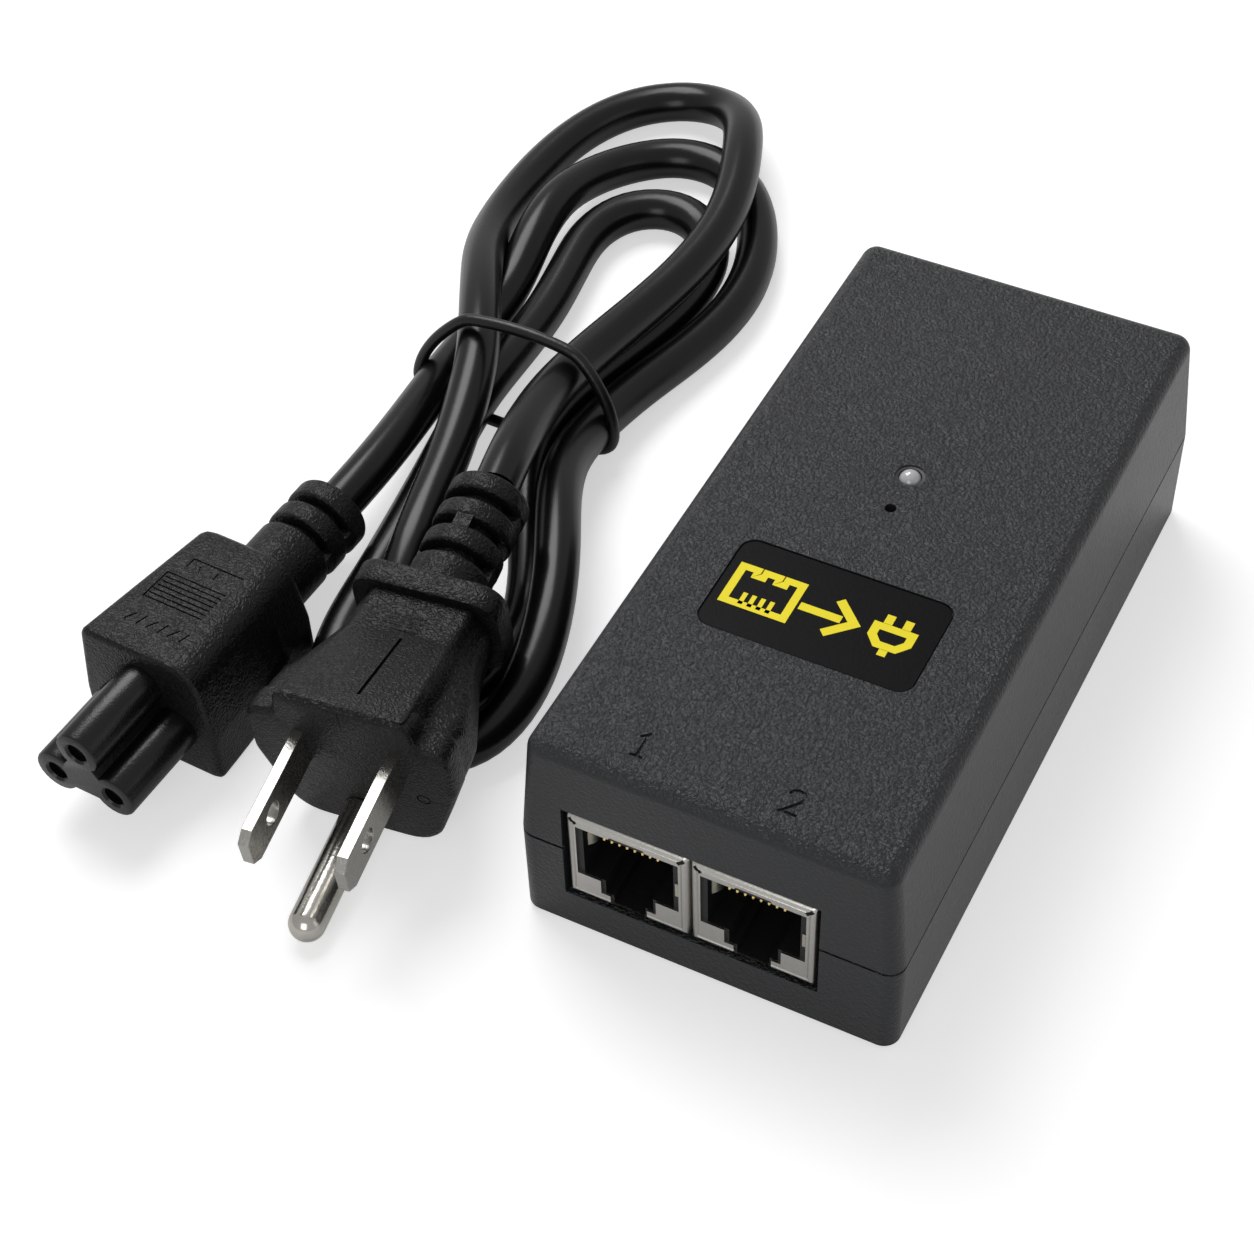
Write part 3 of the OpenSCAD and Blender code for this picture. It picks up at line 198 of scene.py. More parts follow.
def eased(points, steps, closed=False):
    """Points on the smooth curve through the given ones."""
    if closed:
        ends = [points[-1]] + points + points[:2]
    else:
        ends = [2 * points[0] - points[1]] + points + [2 * points[-1] - points[-2]]
    line = []
    for a, b, c, d in zip(ends, ends[1:], ends[2:], ends[3:]):
        for s in range(steps):
            t = s / steps
            line.append(b + (c - a) * (t / 2) + (2 * a - 5 * b + 4 * c - d) * (t * t / 2)
                        + (3 * b - a - 3 * c + d) * (t ** 3 / 2))
    return line if closed else line + [points[-1]]


def add_socket(group, name, kind, way, value=None):
    """A socket on the outside of a node group."""
    socket = group.interface.new_socket(name, in_out=way, socket_type=kind)
    if value is not None:
        socket.default_value = value


# Moulded grain: pebbles with fine pits in them, crossed by winding folds, as a height.
moulded_grain = bpy.data.node_groups.new("moulded_grain", "ShaderNodeTree")
add_socket(moulded_grain, "Vector", "NodeSocketVector", "INPUT")
add_socket(moulded_grain, "Pebble", "NodeSocketFloat", "INPUT", 1500.0)
add_socket(moulded_grain, "Wrinkle", "NodeSocketFloat", "INPUT", 0.5)
add_socket(moulded_grain, "Height", "NodeSocketFloat", "OUTPUT")
tree = moulded_grain
nodes, links = tree.nodes, tree.links
given = nodes.new("NodeGroupInput")
result = nodes.new("NodeGroupOutput")
warp = nodes.new("ShaderNodeTexNoise")
warp.inputs["Detail"].default_value = 1.0
links.new(given.outputs["Vector"], warp.inputs["Vector"])
links.new(maths(tree, "MULTIPLY", given.outputs["Pebble"], 0.45), warp.inputs["Scale"])
pebbles = nodes.new("ShaderNodeTexVoronoi")
pebbles.feature = "SMOOTH_F1"
pebbles.inputs["Smoothness"].default_value = 0.5
links.new(given.outputs["Pebble"], pebbles.inputs["Scale"])
links.new(given.outputs["Vector"], pebbles.inputs["Vector"])
fine = nodes.new("ShaderNodeTexNoise")
fine.inputs["Detail"].default_value = 2.0
fine.inputs["Roughness"].default_value = 0.6
links.new(maths(tree, "MULTIPLY", given.outputs["Pebble"], 1.4), fine.inputs["Scale"])
links.new(given.outputs["Vector"], fine.inputs["Vector"])
winding = maths(tree, "SINE", maths(tree, "MULTIPLY", warp.outputs["Fac"], 38.0))
folds = maths(tree, "MULTIPLY", winding, given.outputs["Wrinkle"])
heap = maths(tree, "SUBTRACT", fine.outputs["Fac"], pebbles.outputs["Distance"])
links.new(maths(tree, "ADD", heap, folds), result.inputs["Height"])

# Uneven tone: broad and fine drifts of one colour and of its gloss.
uneven = bpy.data.node_groups.new("uneven_tone", "ShaderNodeTree")
add_socket(uneven, "Vector", "NodeSocketVector", "INPUT")
add_socket(uneven, "Colour", "NodeSocketColor", "INPUT", (0.1, 0.1, 0.1, 1))
add_socket(uneven, "Spread", "NodeSocketFloat", "INPUT", 0.15)
add_socket(uneven, "Gloss", "NodeSocketFloat", "INPUT", 0.5)
add_socket(uneven, "Patch", "NodeSocketFloat", "INPUT", 60.0)
add_socket(uneven, "Colour", "NodeSocketColor", "OUTPUT")
add_socket(uneven, "Roughness", "NodeSocketFloat", "OUTPUT")
tree = uneven
nodes, links = tree.nodes, tree.links
given = nodes.new("NodeGroupInput")
result = nodes.new("NodeGroupOutput")
broad = nodes.new("ShaderNodeTexNoise")
broad.inputs["Detail"].default_value = 4.0
links.new(given.outputs["Vector"], broad.inputs["Vector"])
links.new(given.outputs["Patch"], broad.inputs["Scale"])
specks = nodes.new("ShaderNodeTexNoise")
specks.inputs["Detail"].default_value = 2.0
links.new(given.outputs["Vector"], specks.inputs["Vector"])
links.new(maths(tree, "MULTIPLY", given.outputs["Patch"], 22.0), specks.inputs["Scale"])
drift = maths(tree, "SUBTRACT",
              maths(tree, "ADD", broad.outputs["Fac"], specks.outputs["Fac"]), 1.0)
swing = maths(tree, "MULTIPLY", drift, given.outputs["Spread"])
scaled = nodes.new("ShaderNodeVectorMath")
scaled.operation = "SCALE"
links.new(given.outputs["Colour"], scaled.inputs[0])
links.new(maths(tree, "MULTIPLY_ADD", swing, 2.0, 1.0), scaled.inputs["Scale"])
links.new(scaled.outputs[0], result.inputs["Colour"])
links.new(maths(tree, "MULTIPLY_ADD", swing, 0.5, given.outputs["Gloss"]),
          result.inputs["Roughness"])


def moulded(name, colour, gloss, grain, pebble, spread=0.15, patch=60.0, metallic=0.0,
            specular=0.5, wrinkle=0.5, level=None):
    """A finish with uneven tone and a grain whose depth is in millimetres. Where level
    is given, the grain fades to that share on faces that don't look up."""
    finish = bpy.data.materials.new(name)
    finish.use_nodes = True
    tree = finish.node_tree
    nodes, links = tree.nodes, tree.links
    skin = nodes["Principled BSDF"]
    skin.inputs["Metallic"].default_value = metallic
    skin.inputs["Specular IOR Level"].default_value = specular
    place = nodes.new("ShaderNodeTexCoord")
    tone = nodes.new("ShaderNodeGroup")
    tone.node_tree = uneven
    tone.inputs["Colour"].default_value = (*colour, 1)
    tone.inputs["Spread"].default_value = spread
    tone.inputs["Gloss"].default_value = gloss
    tone.inputs["Patch"].default_value = patch
    links.new(place.outputs["Object"], tone.inputs["Vector"])
    links.new(tone.outputs["Colour"], skin.inputs["Base Color"])
    links.new(tone.outputs["Roughness"], skin.inputs["Roughness"])
    pits = nodes.new("ShaderNodeGroup")
    pits.node_tree = moulded_grain
    pits.inputs["Pebble"].default_value = pebble
    pits.inputs["Wrinkle"].default_value = wrinkle
    links.new(place.outputs["Object"], pits.inputs["Vector"])
    height = pits.outputs["Height"]
    if level is not None:
        facing = nodes.new("ShaderNodeSeparateXYZ")
        links.new(nodes.new("ShaderNodeNewGeometry").outputs["Normal"], facing.inputs[0])
        share = nodes.new("ShaderNodeMapRange")
        share.inputs["From Min"].default_value = 0.3
        share.inputs["From Max"].default_value = 0.9
        share.inputs["To Min"].default_value = level
        links.new(facing.outputs["Z"], share.inputs["Value"])
        height = maths(tree, "MULTIPLY", height, share.outputs["Result"])
    bump = nodes.new("ShaderNodeBump")
    bump.inputs["Distance"].default_value = grain * MM
    links.new(height, bump.inputs["Height"])
    links.new(bump.outputs["Normal"], skin.inputs["Normal"])
    return finish


jacket = moulded("cord_jacket", (0.0035, 0.0035, 0.004), 0.25, grain=0.002, pebble=1100,
                 spread=0.12, specular=0.32, wrinkle=0.0)
# The route's points are drawn towards their neighbours, so that the bends come out even.
pull = 0.08
cord_passes = 6
held = [cord_route[0]]
for before, here, after in zip(cord_route, cord_route[1:], cord_route[2:]):
    held.append(here + pull * (before + after - 2 * here))
line = eased(held + [cord_route[-1]], 5)
for _ in range(cord_passes):
    line[1:-1] = [(a + 2 * b + c) / 4 for a, b, c in zip(line, line[1:], line[2:])]
cord_curve = bpy.data.curves.new("power_cord_jacket", "CURVE")
cord_curve.dimensions = "3D"
spline = cord_curve.splines.new("POLY")
spline.points.add(len(line) - 1)
for point, place in zip(spline.points, line):
    point.co = (*place, 1)
cord_curve.bevel_depth = jacket_d / 2
cord_curve.bevel_resolution = 10
cord_curve.use_fill_caps = True
cord_curve.materials.append(jacket)
power_cord = bpy.data.objects.new("power_cord_jacket", cord_curve)
scene.collection.objects.link(power_cord)
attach(power_cord, "cord_set")
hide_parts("power_cord")


# Cord tie. ----------------------------------------------------------------------------
# A round rubber ring drawn over the bundle where the loops cross. It bridges the
# hollows between the runs, because it is stretched.
tie_d = 1.8
tie_y = 23.8
tie_lean = 0.2
tie_bow = 0.055
tie_passes = 28
# Centre x and z, radius, and the angles at which the tie meets and leaves the corner.
tie_corners = [(-55.1, 5.3, 4.3, -90, 38), (-60.3, 12, 4.9, 38, 90), (-74.2, 12, 4.9, 90, 135),
               (-80.4, 5.3, 4.3, 135, 270)]


def turns(count):
    """Angles that share out a full turn."""
    return [k * math.tau / count for k in range(count)]


def meshed(name, points, faces):
    """A mesh whose faces all look outwards."""
    mesh = bpy.data.meshes.new(name)
    mesh.from_pydata([tuple(p) for p in points], [], faces)
    shaped = bmesh.new()
    shaped.from_mesh(mesh)
    bmesh.ops.recalc_face_normals(shaped, faces=shaped.faces)
    shaped.to_mesh(mesh)
    shaped.free()
    return mesh


def finished(made, finish, smooth=35):
    """Gives a piece its finish, shaded smooth up to an angle in degrees."""
    made.data.materials.clear()
    made.data.materials.append(finish)
    made.data.shade_smooth()
    made.data.set_sharp_from_angle(angle=math.radians(smooth))


def piece(name, points, faces, finish, body, slot, smooth=35):
    """A finished piece from points in metres, riding on a body."""
    made = bpy.data.objects.new(name, meshed(name, points, faces))
    scene.collection.objects.link(made)
    finished(made, finish, smooth)
    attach(made, body)
    return made


def lofted(rings, closed=False):
    """A skin over rings that have as many points each."""
    count = len(rings[0])
    points = [p for ring in rings for p in ring]
    faces = []
    for i in range(len(rings) if closed else len(rings) - 1):
        j = (i + 1) % len(rings)
        for k in range(count):
            n = (k + 1) % count
            faces.append((i * count + k, i * count + n, j * count + n, j * count + k))
    if not closed:
        faces.append(tuple(range(count)))
        faces.append(tuple(range(len(points) - count, len(points))))
    return points, faces


def with_neighbours(line):
    """(before, here, after) for each point of a closed line."""
    return zip(line[-1:] + line[:-1], line, line[1:] + line[:1])


tie_line = []
for i, (x, z, r, start, end) in enumerate(tie_corners):
    for turn in (start, (start + end) / 2, end):
        a = math.radians(turn)
        tie_line.append(Vector((x + r * math.cos(a), 0, z + r * math.sin(a))))
    if i < len(tie_corners) - 1:
        x1, z1, r1 = tie_corners[i + 1][:3]
        out = Vector((math.cos(a), 0, math.sin(a)))
        span = Vector((x1, 0, z1)) + r1 * out - tie_line[-1]
        tie_line.append(tie_line[-1] + span / 2 + out * span.length * tie_bow)
for p in tie_line:
    p.y = tie_y + tie_lean * p.z
tie_line = eased(tie_line, 8, closed=True)
for _ in range(tie_passes):
    tie_line = [(before + p + after) / 3 for before, p, after in with_neighbours(tie_line)]
rings = []
for before, p, after in with_neighbours(tie_line):
    ahead = (after - before).normalized()
    out = ahead.cross(Vector((0, 1, -tie_lean))).normalized()
    over = out.cross(ahead)
    rings.append([(p + tie_d / 2 * (math.cos(a) * out + math.sin(a) * over)) * MM
                  for a in turns(16)])
rubber = moulded("tie_rubber", (0.004, 0.004, 0.0045), 0.34, grain=0.008, pebble=1800,
                 specular=0.4)
cord_tie = piece("rubber_tie", *lofted(rings, closed=True), rubber, "cord_set", "tie_plastic",
                 60)
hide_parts("cord_tie")


# Ringed strain reliefs. ---------------------------------------------------------------
# Soft PVC sleeves moulded round the cord at both ends. The rings bend apart, and the
# ribs that tie them turn a quarter from one gap to the next.
relief_r = 5.7
relief_core_r = 3.9
cap_r = 0.4
rib_half = 1.15
rib_foot_r = 2
rib_top_r = 5.45
rib_sink = 0.6
leathery = moulded("leathery_pvc", (0.006, 0.0062, 0.0066), 0.35, grain=0.072, pebble=2000,
                   spread=0.18, specular=0.20, wrinkle=0.3)


def boxed(low, high):
    """A box between two corners."""
    xs, ys, zs = zip(low, high)
    points = [Vector((x, y, z)) for x in xs for y in ys for z in zs]
    faces = [(0, 1, 3, 2), (4, 6, 7, 5), (0, 4, 5, 1), (2, 3, 7, 6), (0, 2, 6, 4), (1, 5, 7, 3)]
    return points, faces


def joined(shapes):
    """Several shapes as one."""
    points, faces = [], []
    for some_points, some_faces in shapes:
        faces += [tuple(i + len(points) for i in face) for face in some_faces]
        points += some_points
    return points, faces


def moved(shape, matrix):
    """The shape carried by a matrix."""
    points, faces = shape
    return [matrix @ p for p in points], faces


def in_metres(shape):
    """The shape scaled from millimetres to metres."""
    points, faces = shape
    return [p * MM for p in points], faces


def turned(profile, sides=64):
    """A solid of revolution about the Y axis from (y, radius) pairs."""
    return lofted([[Vector((r * math.cos(a), y, r * math.sin(a)))
                    for a in turns(sides)] for y, r in profile])


def round_edges(start, end, r):
    """(y, radius) pairs of one ring with rounded edges."""
    edge = 0.55
    corner = [(1 - math.cos(a), math.sin(a))
              for a in (math.radians(d) for d in (0, 22, 45, 68, 90))]
    front = [(start + edge * c, r - edge + edge * s) for c, s in corner]
    rear = [(end - edge * c, r - edge + edge * s) for c, s in reversed(corner)]
    return [(start, cap_r)] + front + rear + [(end, cap_r)]


def ringed_sleeve(length, neck, ring_w, gap, rib_turns):
    """The sleeve from y = -length to y = 0, its axis on Y, with ribs at a turn in each gap."""
    pitch = ring_w + gap
    cord_r = jacket_d / MM / 2
    parts = [turned([(-length, cap_r), (-length, relief_core_r), (-neck, relief_core_r),
                     (-neck, cord_r + 0.1), (0, cord_r), (0, cap_r)])]
    for i in range(len(rib_turns) + 1):
        width = ring_w if i < len(rib_turns) else length - neck - i * pitch
        rear = -neck - i * pitch
        parts.append(turned(round_edges(rear - width, rear, relief_r - 0.05 * i)))
    for i, turn in enumerate(rib_turns):
        middle_y = -neck - (i + 1) * pitch + gap / 2
        for side in (0, 180):
            rib = boxed((-rib_half, middle_y - gap / 2 - rib_sink, rib_foot_r),
                        (rib_half, middle_y + gap / 2 + rib_sink, rib_top_r))
            parts.append(moved(rib, Matrix.Rotation(math.radians(turn + side), 3, "Y")))
    return joined(parts)


c5_axis_z = 8.2
c5_relief_l = 17.8
c5_frame = (Matrix.Translation((cord_route[0].x / MM, cord_route[0].y / MM, 0))
            @ Matrix.Rotation(math.radians(-2.8), 4, "Z"))
c5_sleeve = piece("connector_sleeve",
                  *in_metres(moved(ringed_sleeve(c5_relief_l, 0.2, 3.3, 1.3, (90, 90)),
                                   c5_frame @ Matrix.Translation((0, 0, c5_axis_z)))),
                  leathery, "cord_set", "moulded_pvc")
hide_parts("c5_strain_relief")

plug_relief_l = 20
plug_back = 48
plug_axis_z = -4
plug_frame = (Matrix.Translation(cord_route[-1] / MM)
              @ Matrix.Rotation(math.radians(6.9), 4, "Z")
              @ Matrix.Rotation(math.radians(6.5), 4, "X")
              @ Matrix.Translation((0, -plug_back, -plug_axis_z)))
plug_sleeve = piece("plug_sleeve",
                    *in_metres(moved(ringed_sleeve(plug_relief_l, 1.4, 3.0, 1.6, (90, 0, 90)),
                                     plug_frame @ Matrix.Translation((0, plug_back, plug_axis_z)))),
                    leathery, "cord_set", "moulded_pvc")
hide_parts("plug_strain_relief")


# Appliance connector. -----------------------------------------------------------------
# Overmoulded PVC body of a three-pole connector. Its top face carries a fine engraved
# grip field, and a hard nylon nose with three brass tubes stands out of its front.
c5_front_y = -42.5
c5_rear_y = -c5_relief_l


def rounded_outline(corners, radii, steps=6):
    """A closed outline whose corners are rounded off, as (a, b) pairs."""
    line = []
    count = len(corners)
    for i, (corner, r) in enumerate(zip(corners, radii)):
        here = Vector(corner)
        before = Vector(corners[i - 1]) - here
        after = Vector(corners[(i + 1) % count]) - here
        reach = r / math.tan(before.angle(after) / 2)
        reach = min(reach, before.length * 0.48, after.length * 0.48)
        a, b = here + before.normalized() * reach, here + after.normalized() * reach
        for s in range(steps + 1):
            t = s / steps
            line.append(a * (1 - t) ** 2 + here * (2 * t * (1 - t)) + b * t * t)
    return line


def upright(outline, y):
    """An (x, z) outline as points in the plane at y."""
    return [Vector((p[0], y, p[1])) for p in outline]


def c5_station(y, low_w, top_w, h, inset):
    """One section of the connector's body; its right shoulder is rounder than its left."""
    low, top, h = low_w / 2 - inset, top_w / 2 - inset, h - inset
    belt = (low * 0.97 + top * 0.03, 8.0)
    corners = [(-top, h), (top, h), belt, (low, inset), (-low, inset), (-belt[0], belt[1])]
    return upright(rounded_outline(corners, [1.8, 4.2, 6, 1.6, 1.6, 6]), y)


def settled(made):
    """Makes what a piece's modifiers show its own mesh."""
    bpy.context.view_layer.update()
    shown = made.evaluated_get(bpy.context.evaluated_depsgraph_get())
    old = made.data
    made.data = bpy.data.meshes.new_from_object(shown)
    made.modifiers.clear()
    bpy.data.meshes.remove(old)


def carved(made, cutters):
    """Takes the cutter shapes out of a piece."""
    tool = bpy.data.objects.new("cutter", meshed("cutter", *joined(cutters)))
    scene.collection.objects.link(tool)
    cut = made.modifiers.new("cut", "BOOLEAN")
    cut.operation = "DIFFERENCE"
    cut.solver = "EXACT"
    cut.use_self = True
    cut.object = tool
    settled(made)
    bpy.data.objects.remove(tool)


c5_body_l = c5_rear_y - c5_front_y
c5_low_w = 21
c5_top_w = 18
c5_h = 20
c5_lip = 0.8
c5_drop = 1.9
# Each station: y, width at the bottom and at the top, height, and inset.
c5_stations = [(c5_front_y + back, c5_low_w, c5_top_w, c5_h, inset)
               for back, inset in ((0.0, 0.75), (0.15, 0.36), (0.4, 0.1), (c5_lip, 0.0))]
for i in range(1, 9):
    t = i / 8
    c5_stations.append((c5_front_y + c5_lip + (c5_body_l - 2.6) * t, c5_low_w - 2.6 * t ** 1.2,
                        c5_top_w - 3.8 * t, c5_h - c5_drop * t, 0.0))
c5_stations += [(c5_rear_y - 1.0, 18.2, 14.0, 18.0, 0.15), (c5_rear_y - 0.4, 18.0, 13.8, 17.9, 0.6),
                (c5_rear_y - 0.1, 17.8, 13.6, 17.8, 1.3)]
c5_slope = math.atan2(c5_drop, c5_body_l - 1.8)
engraved = 0.22


def on_top(x, y, w, l, turn=0.0):
    """A cutter that engraves a bar in the connector's sloping top face."""
    z = c5_h - (y - c5_front_y - c5_lip) * math.tan(c5_slope)
    tilt = (Matrix.Translation((x, y, z)) @ Matrix.Rotation(-c5_slope, 4, "X")
            @ Matrix.Rotation(math.radians(turn), 4, "Z"))
    return moved(boxed((-w / 2, -l / 2, -engraved), (w / 2, l / 2, 1.0)), tilt)


c5_marks = [on_top(-1.0, -33.3 + 0.86 * i, 9.4, 0.26) for i in range(7)]
c5_marks += [on_top(-5.6, -30.7, 0.26, 5.4), on_top(-0.2, -24.4, 8.0, 0.3),
             on_top(-4.1, -25.2, 0.3, 1.8)]
c5_marks += [on_top(-4.6 + 1.7 * i, -37.2, 0.24, 1.9, -28 + 14 * (i % 2)) for i in range(6)]
c5_marks += [on_top(-2.2, -25.8, 0.24, 1.4, 30), on_top(0.4, -25.8, 0.24, 1.2)]
side_panels = []
for side, half_turn in ((-1, 180), (1, 0)):
    seat = (Matrix.Translation((side * 9.55, -30.0, 9.6))
            @ Matrix.Rotation(math.radians(side * 6.5), 4, "Z")
            @ Matrix.Rotation(math.radians(half_turn), 4, "Z")
            @ Matrix.Rotation(math.radians(-9.0), 4, "Y"))
    side_panels.append(moved(boxed((-0.45, -5.2, -3.4), (2.0, 5.2, 3.4)), seat))
connector = piece("connector_body", *lofted([c5_station(*s) for s in c5_stations]), leathery,
                  "cord_set", "moulded_pvc")
carved(connector, c5_marks + side_panels)
connector.data.transform(Matrix.Scale(MM, 4) @ c5_frame)
finished(connector, leathery, 32)
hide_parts("c5_body")

nose_l = 13.6
nose_y = c5_front_y - nose_l
lobe_r = 3.2
pole_spots = [(0, 6), (-4.5, 0), (4.5, 0)]
lobe_arcs = [(-50, 230), (56, 328), (212, 484)]
tube_d = 2.9


def lobe_outline(inset):
    """Three round poles joined by a web, as (x, z) pairs."""
    r = lobe_r - inset
    line = []
    for (x, z), (start, end) in zip(pole_spots, lobe_arcs):
        for i in range(19):
            a = math.radians(start + (end - start) * i / 18)
            line.append((x + r * math.cos(a), z + r * math.sin(a)))
    return line


def tube_hole(x, z):
    """A cutter for the hole round one tube; its mouth is chamfered."""
    r = tube_d / 2
    points, faces = turned([(nose_y - 1, r + 0.3), (nose_y, r + 0.3), (nose_y + 0.3, r),
                            (c5_front_y + 1.2, r)], 32)
    return [p + Vector((x, 0, z)) for p in points], faces


nylon = moulded("connector_nylon", (0.0045, 0.0045, 0.005), 0.27, grain=0.006, pebble=2500,
                specular=0.35)
nose_stations = [(nose_y, 0.34), (nose_y + 0.1, 0.12), (nose_y + 0.34, 0.0),
                 (c5_front_y + 1.5, 0.0)]
nose = piece("connector_nose",
             *lofted([upright(lobe_outline(inset), y) for y, inset in nose_stations]),
             nylon, "cord_set", "insert_nylon")
carved(nose, [tube_hole(x, z) for x, z in pole_spots])
nose.data.transform(Matrix.Scale(MM, 4) @ c5_frame @ Matrix.Translation((0, 0, c5_axis_z)))
finished(nose, nylon)
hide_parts("c5_nose")

sprung_brass = moulded("sprung_brass", (0.55, 0.38, 0.14), 0.3, grain=0.004, pebble=3000,
                       spread=0.1, metallic=1.0)


def dressed(node, finish):
    """Gives a carried node its finish."""
    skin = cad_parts[node].data
    skin.materials.clear()
    skin.materials.append(finish)


dressed("c5_sockets", sprung_brass)


# Mains plug. --------------------------------------------------------------------------
# Angled three-pole plug overmoulded in PVC: a broad lip at the blades, two finger pads
# that slope back from it, a dished thumb rest with ripples and a flat collar.
# Each section of the right half: distance from the face, inset, and (x, z) corners.
half_sections = [
    (0.0, 0.7, [(8.9, 10), (9.6, 5.8), (13.5, 5.1), (13.7, -3.8), (9.7, -16)]),
    (0.2, 0.28, [(8.9, 10), (9.6, 5.8), (13.5, 5.1), (13.7, -3.8), (9.7, -16)]),
    (0.7, 0.0, [(8.9, 9.9), (9.6, 5.8), (13.5, 5.1), (13.7, -3.8), (9.7, -16)]),
    (3.8, 0.0, [(8.5, 8.7), (9.4, 5.0), (13.4, 4.6), (13.7, -3.8), (9.7, -15.9)]),
    (4.3, 0.2, [(8.5, 8.4), (9.4, 5.2), (13.4, 4.7), (13.7, -3.8), (9.8, -15.4)]),
    (4.7, 0.0, [(8.2, 7.9), (9.0, 4.5), (13.0, 4.0), (13.6, -3.8), (9.9, -14.6)]),
    (6.2, 0.0, [(8.0, 7.3), (8.9, 4.1), (13.1, 3.5), (13.6, -3.9), (10.3, -12.4)]),
    (8.5, 0.0, [(7.7, 6.4), (8.7, 3.5), (12.8, 2.6), (13.4, -4.0), (10.8, -10.6)]),
    (11.5, 0.0, [(7.3, 5.3), (8.6, 2.6), (11.8, 1.4), (12.3, -4.2), (10.4, -10.3)]),
    (15.0, 0.0, [(7.0, 4.0), (8.2, 1.9), (10.5, 0.4), (11.0, -4.4), (9.7, -10.0)]),
    (18.0, 0.0, [(6.8, 2.9), (7.8, 1.2), (9.4, -0.3), (9.8, -4.6), (9.1, -9.8)]),
    (21.0, 0.0, [(6.8, 2.2), (7.6, 0.8), (8.9, -0.8), (9.2, -4.8), (8.6, -9.6)]),
    (24.6, 0.0, [(6.9, 1.8), (7.6, 0.4), (8.7, -1.2), (8.9, -5.0), (8.2, -9.6)]),
]
half_radii = [1.8, 1.5, 2.4, 5.0, 5.5]


def plug_ring(y, inset, half):
    """One section of the plug's body, mirrored from its right half and drawn in by inset."""
    corners = half + [(-x, z) for x, z in reversed(half)]
    middle_z = -3.0
    shrunk = [(x - math.copysign(inset, x), z - math.copysign(inset, z - middle_z))
              for x, z in corners]
    return upright(rounded_outline(shrunk, half_radii + half_radii[::-1]), y)


pad_fall = 0.36


def slope_z(y):
    """Height of the sloping top of the finger pads."""
    return 10.02 - pad_fall * (y - 0.8)


def finger_pad():
    """A raised pad on the slope; its rim is rounded, and it follows the slope."""
    outline = [(-8.3, 0.75), (8.5, 0.75), (7.3, 16.9), (1.5, 17.3), (0.6, 17.3), (-6.4, 15.8)]
    centre = Vector((0.4, 9.0))
    rings = []
    for drop, inset in ((2.2, -0.35), (0.45, 0.0), (0.14, 0.1), (0.0, 0.4)):
        line = rounded_outline(outline, [0.8, 0.8, 1.4, 0.4, 0.4, 1.4], 5)
        line = [p + (centre - p).normalized() * inset for p in line]
        rings.append([Vector((p[0], p[1], slope_z(p[1]) - drop + 0.02)) for p in line])
    return lofted(rings)


def bar(a, b, r):
    """A round-ended ridge between two points."""
    a, b = Vector(a), Vector(b)
    along = (b - a).normalized()
    side = along.cross(Vector((0, 0, 1))).normalized()
    up = side.cross(along)
    rings = []
    for place, size in ((a - along * r * 0.95, 0.3), (a - along * r * 0.6, 0.8), (a, 1.0),
                        (b, 1.0), (b + along * r * 0.6, 0.8), (b + along * r * 0.95, 0.3)):
        rings.append([place + size * r * (math.cos(t) * side + math.sin(t) * up)
                      for t in turns(12)])
    return lofted(rings)


plug_parts = [lofted([plug_ring(*s) for s in half_sections]), finger_pad()]
for i in range(4):
    y = 18.2 + 0.85 * i
    z = 2.72 - 0.21 * i
    plug_parts.append(bar((-3.0, y, z), (2.0, y, z), 0.26))
collar_rings = []
for y, inset in ((24.4, 0.4), (24.5, 0.12), (24.8, 0.0), (27.6, 0.0), (27.9, 0.12), (28.0, 0.4)):
    w, h = 10.4 - inset, 7.1 - inset
    line = rounded_outline([(-w, h), (w, h), (w, -h), (-w, -h)], [4.2] * 4, 8)
    collar_rings.append([Vector((p[0], y, p[1] + plug_axis_z)) for p in line])
plug_parts.append(lofted(collar_rings))
plug_mould = piece("plug_mould", *joined(plug_parts), leathery, "cord_set", "moulded_pvc")
groove_seat = (Matrix.Translation((1.1, 9.9, slope_z(9.9)))
               @ Matrix.Rotation(math.atan(-pad_fall), 4, "X"))
ring_mark = [Vector((9.4 + r * math.cos(a), y, -5.2 + r * math.sin(a)))
             for r, y in ((0.95, -1), (0.95, 0.16), (0.72, 0.16), (0.72, -1))
             for a in turns(24)]
ring_faces = lofted([[Vector()] * 24] * 4, closed=True)[1]
seams = [boxed((10.4, -1, -5.25), (15, 0.8, -5.15)), boxed((-0.05, -1, 5.8), (0.05, 0.12, 12))]
groove = moved(boxed((-0.22, -6.4, -0.5), (0.22, 6.4, 1.5)), groove_seat)
carved(plug_mould, [groove, (ring_mark, ring_faces)] + seams)
plug_mould.data.transform(Matrix.Scale(MM, 4) @ plug_frame)
finished(plug_mould, leathery, 34)
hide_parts("plug_body")


def copy_of(node, name, finish, body, bevel, angle=35, cutters=()):
    """A piece with a node's own shape and finely rounded edges, in the node's place."""
    made = bpy.data.objects.new(name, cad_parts[node].data.copy())
    made.data.name = name
    scene.collection.objects.link(made)
    shaped = bmesh.new()
    shaped.from_mesh(made.data)
    bmesh.ops.remove_doubles(shaped, verts=shaped.verts, dist=1e-6)
    bmesh.ops.dissolve_limit(shaped, angle_limit=math.radians(0.4), verts=shaped.verts,
                             edges=shaped.edges)
    shaped.to_mesh(made.data)
    shaped.free()
    if cutters:
        carved(made, [in_metres(cutter) for cutter in cutters])
    finished(made, finish, 32)
    soft = made.modifiers.new("soft_edges", "BEVEL")
    soft.width = bevel * MM
    soft.segments = 2
    soft.limit_method = "ANGLE"
    soft.angle_limit = math.radians(angle)
    even = made.modifiers.new("even_shading", "WEIGHTED_NORMAL")
    even.weight = 100
    even.keep_sharp = True
    settled(made)
    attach(made, body)
    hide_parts(node)
    return made


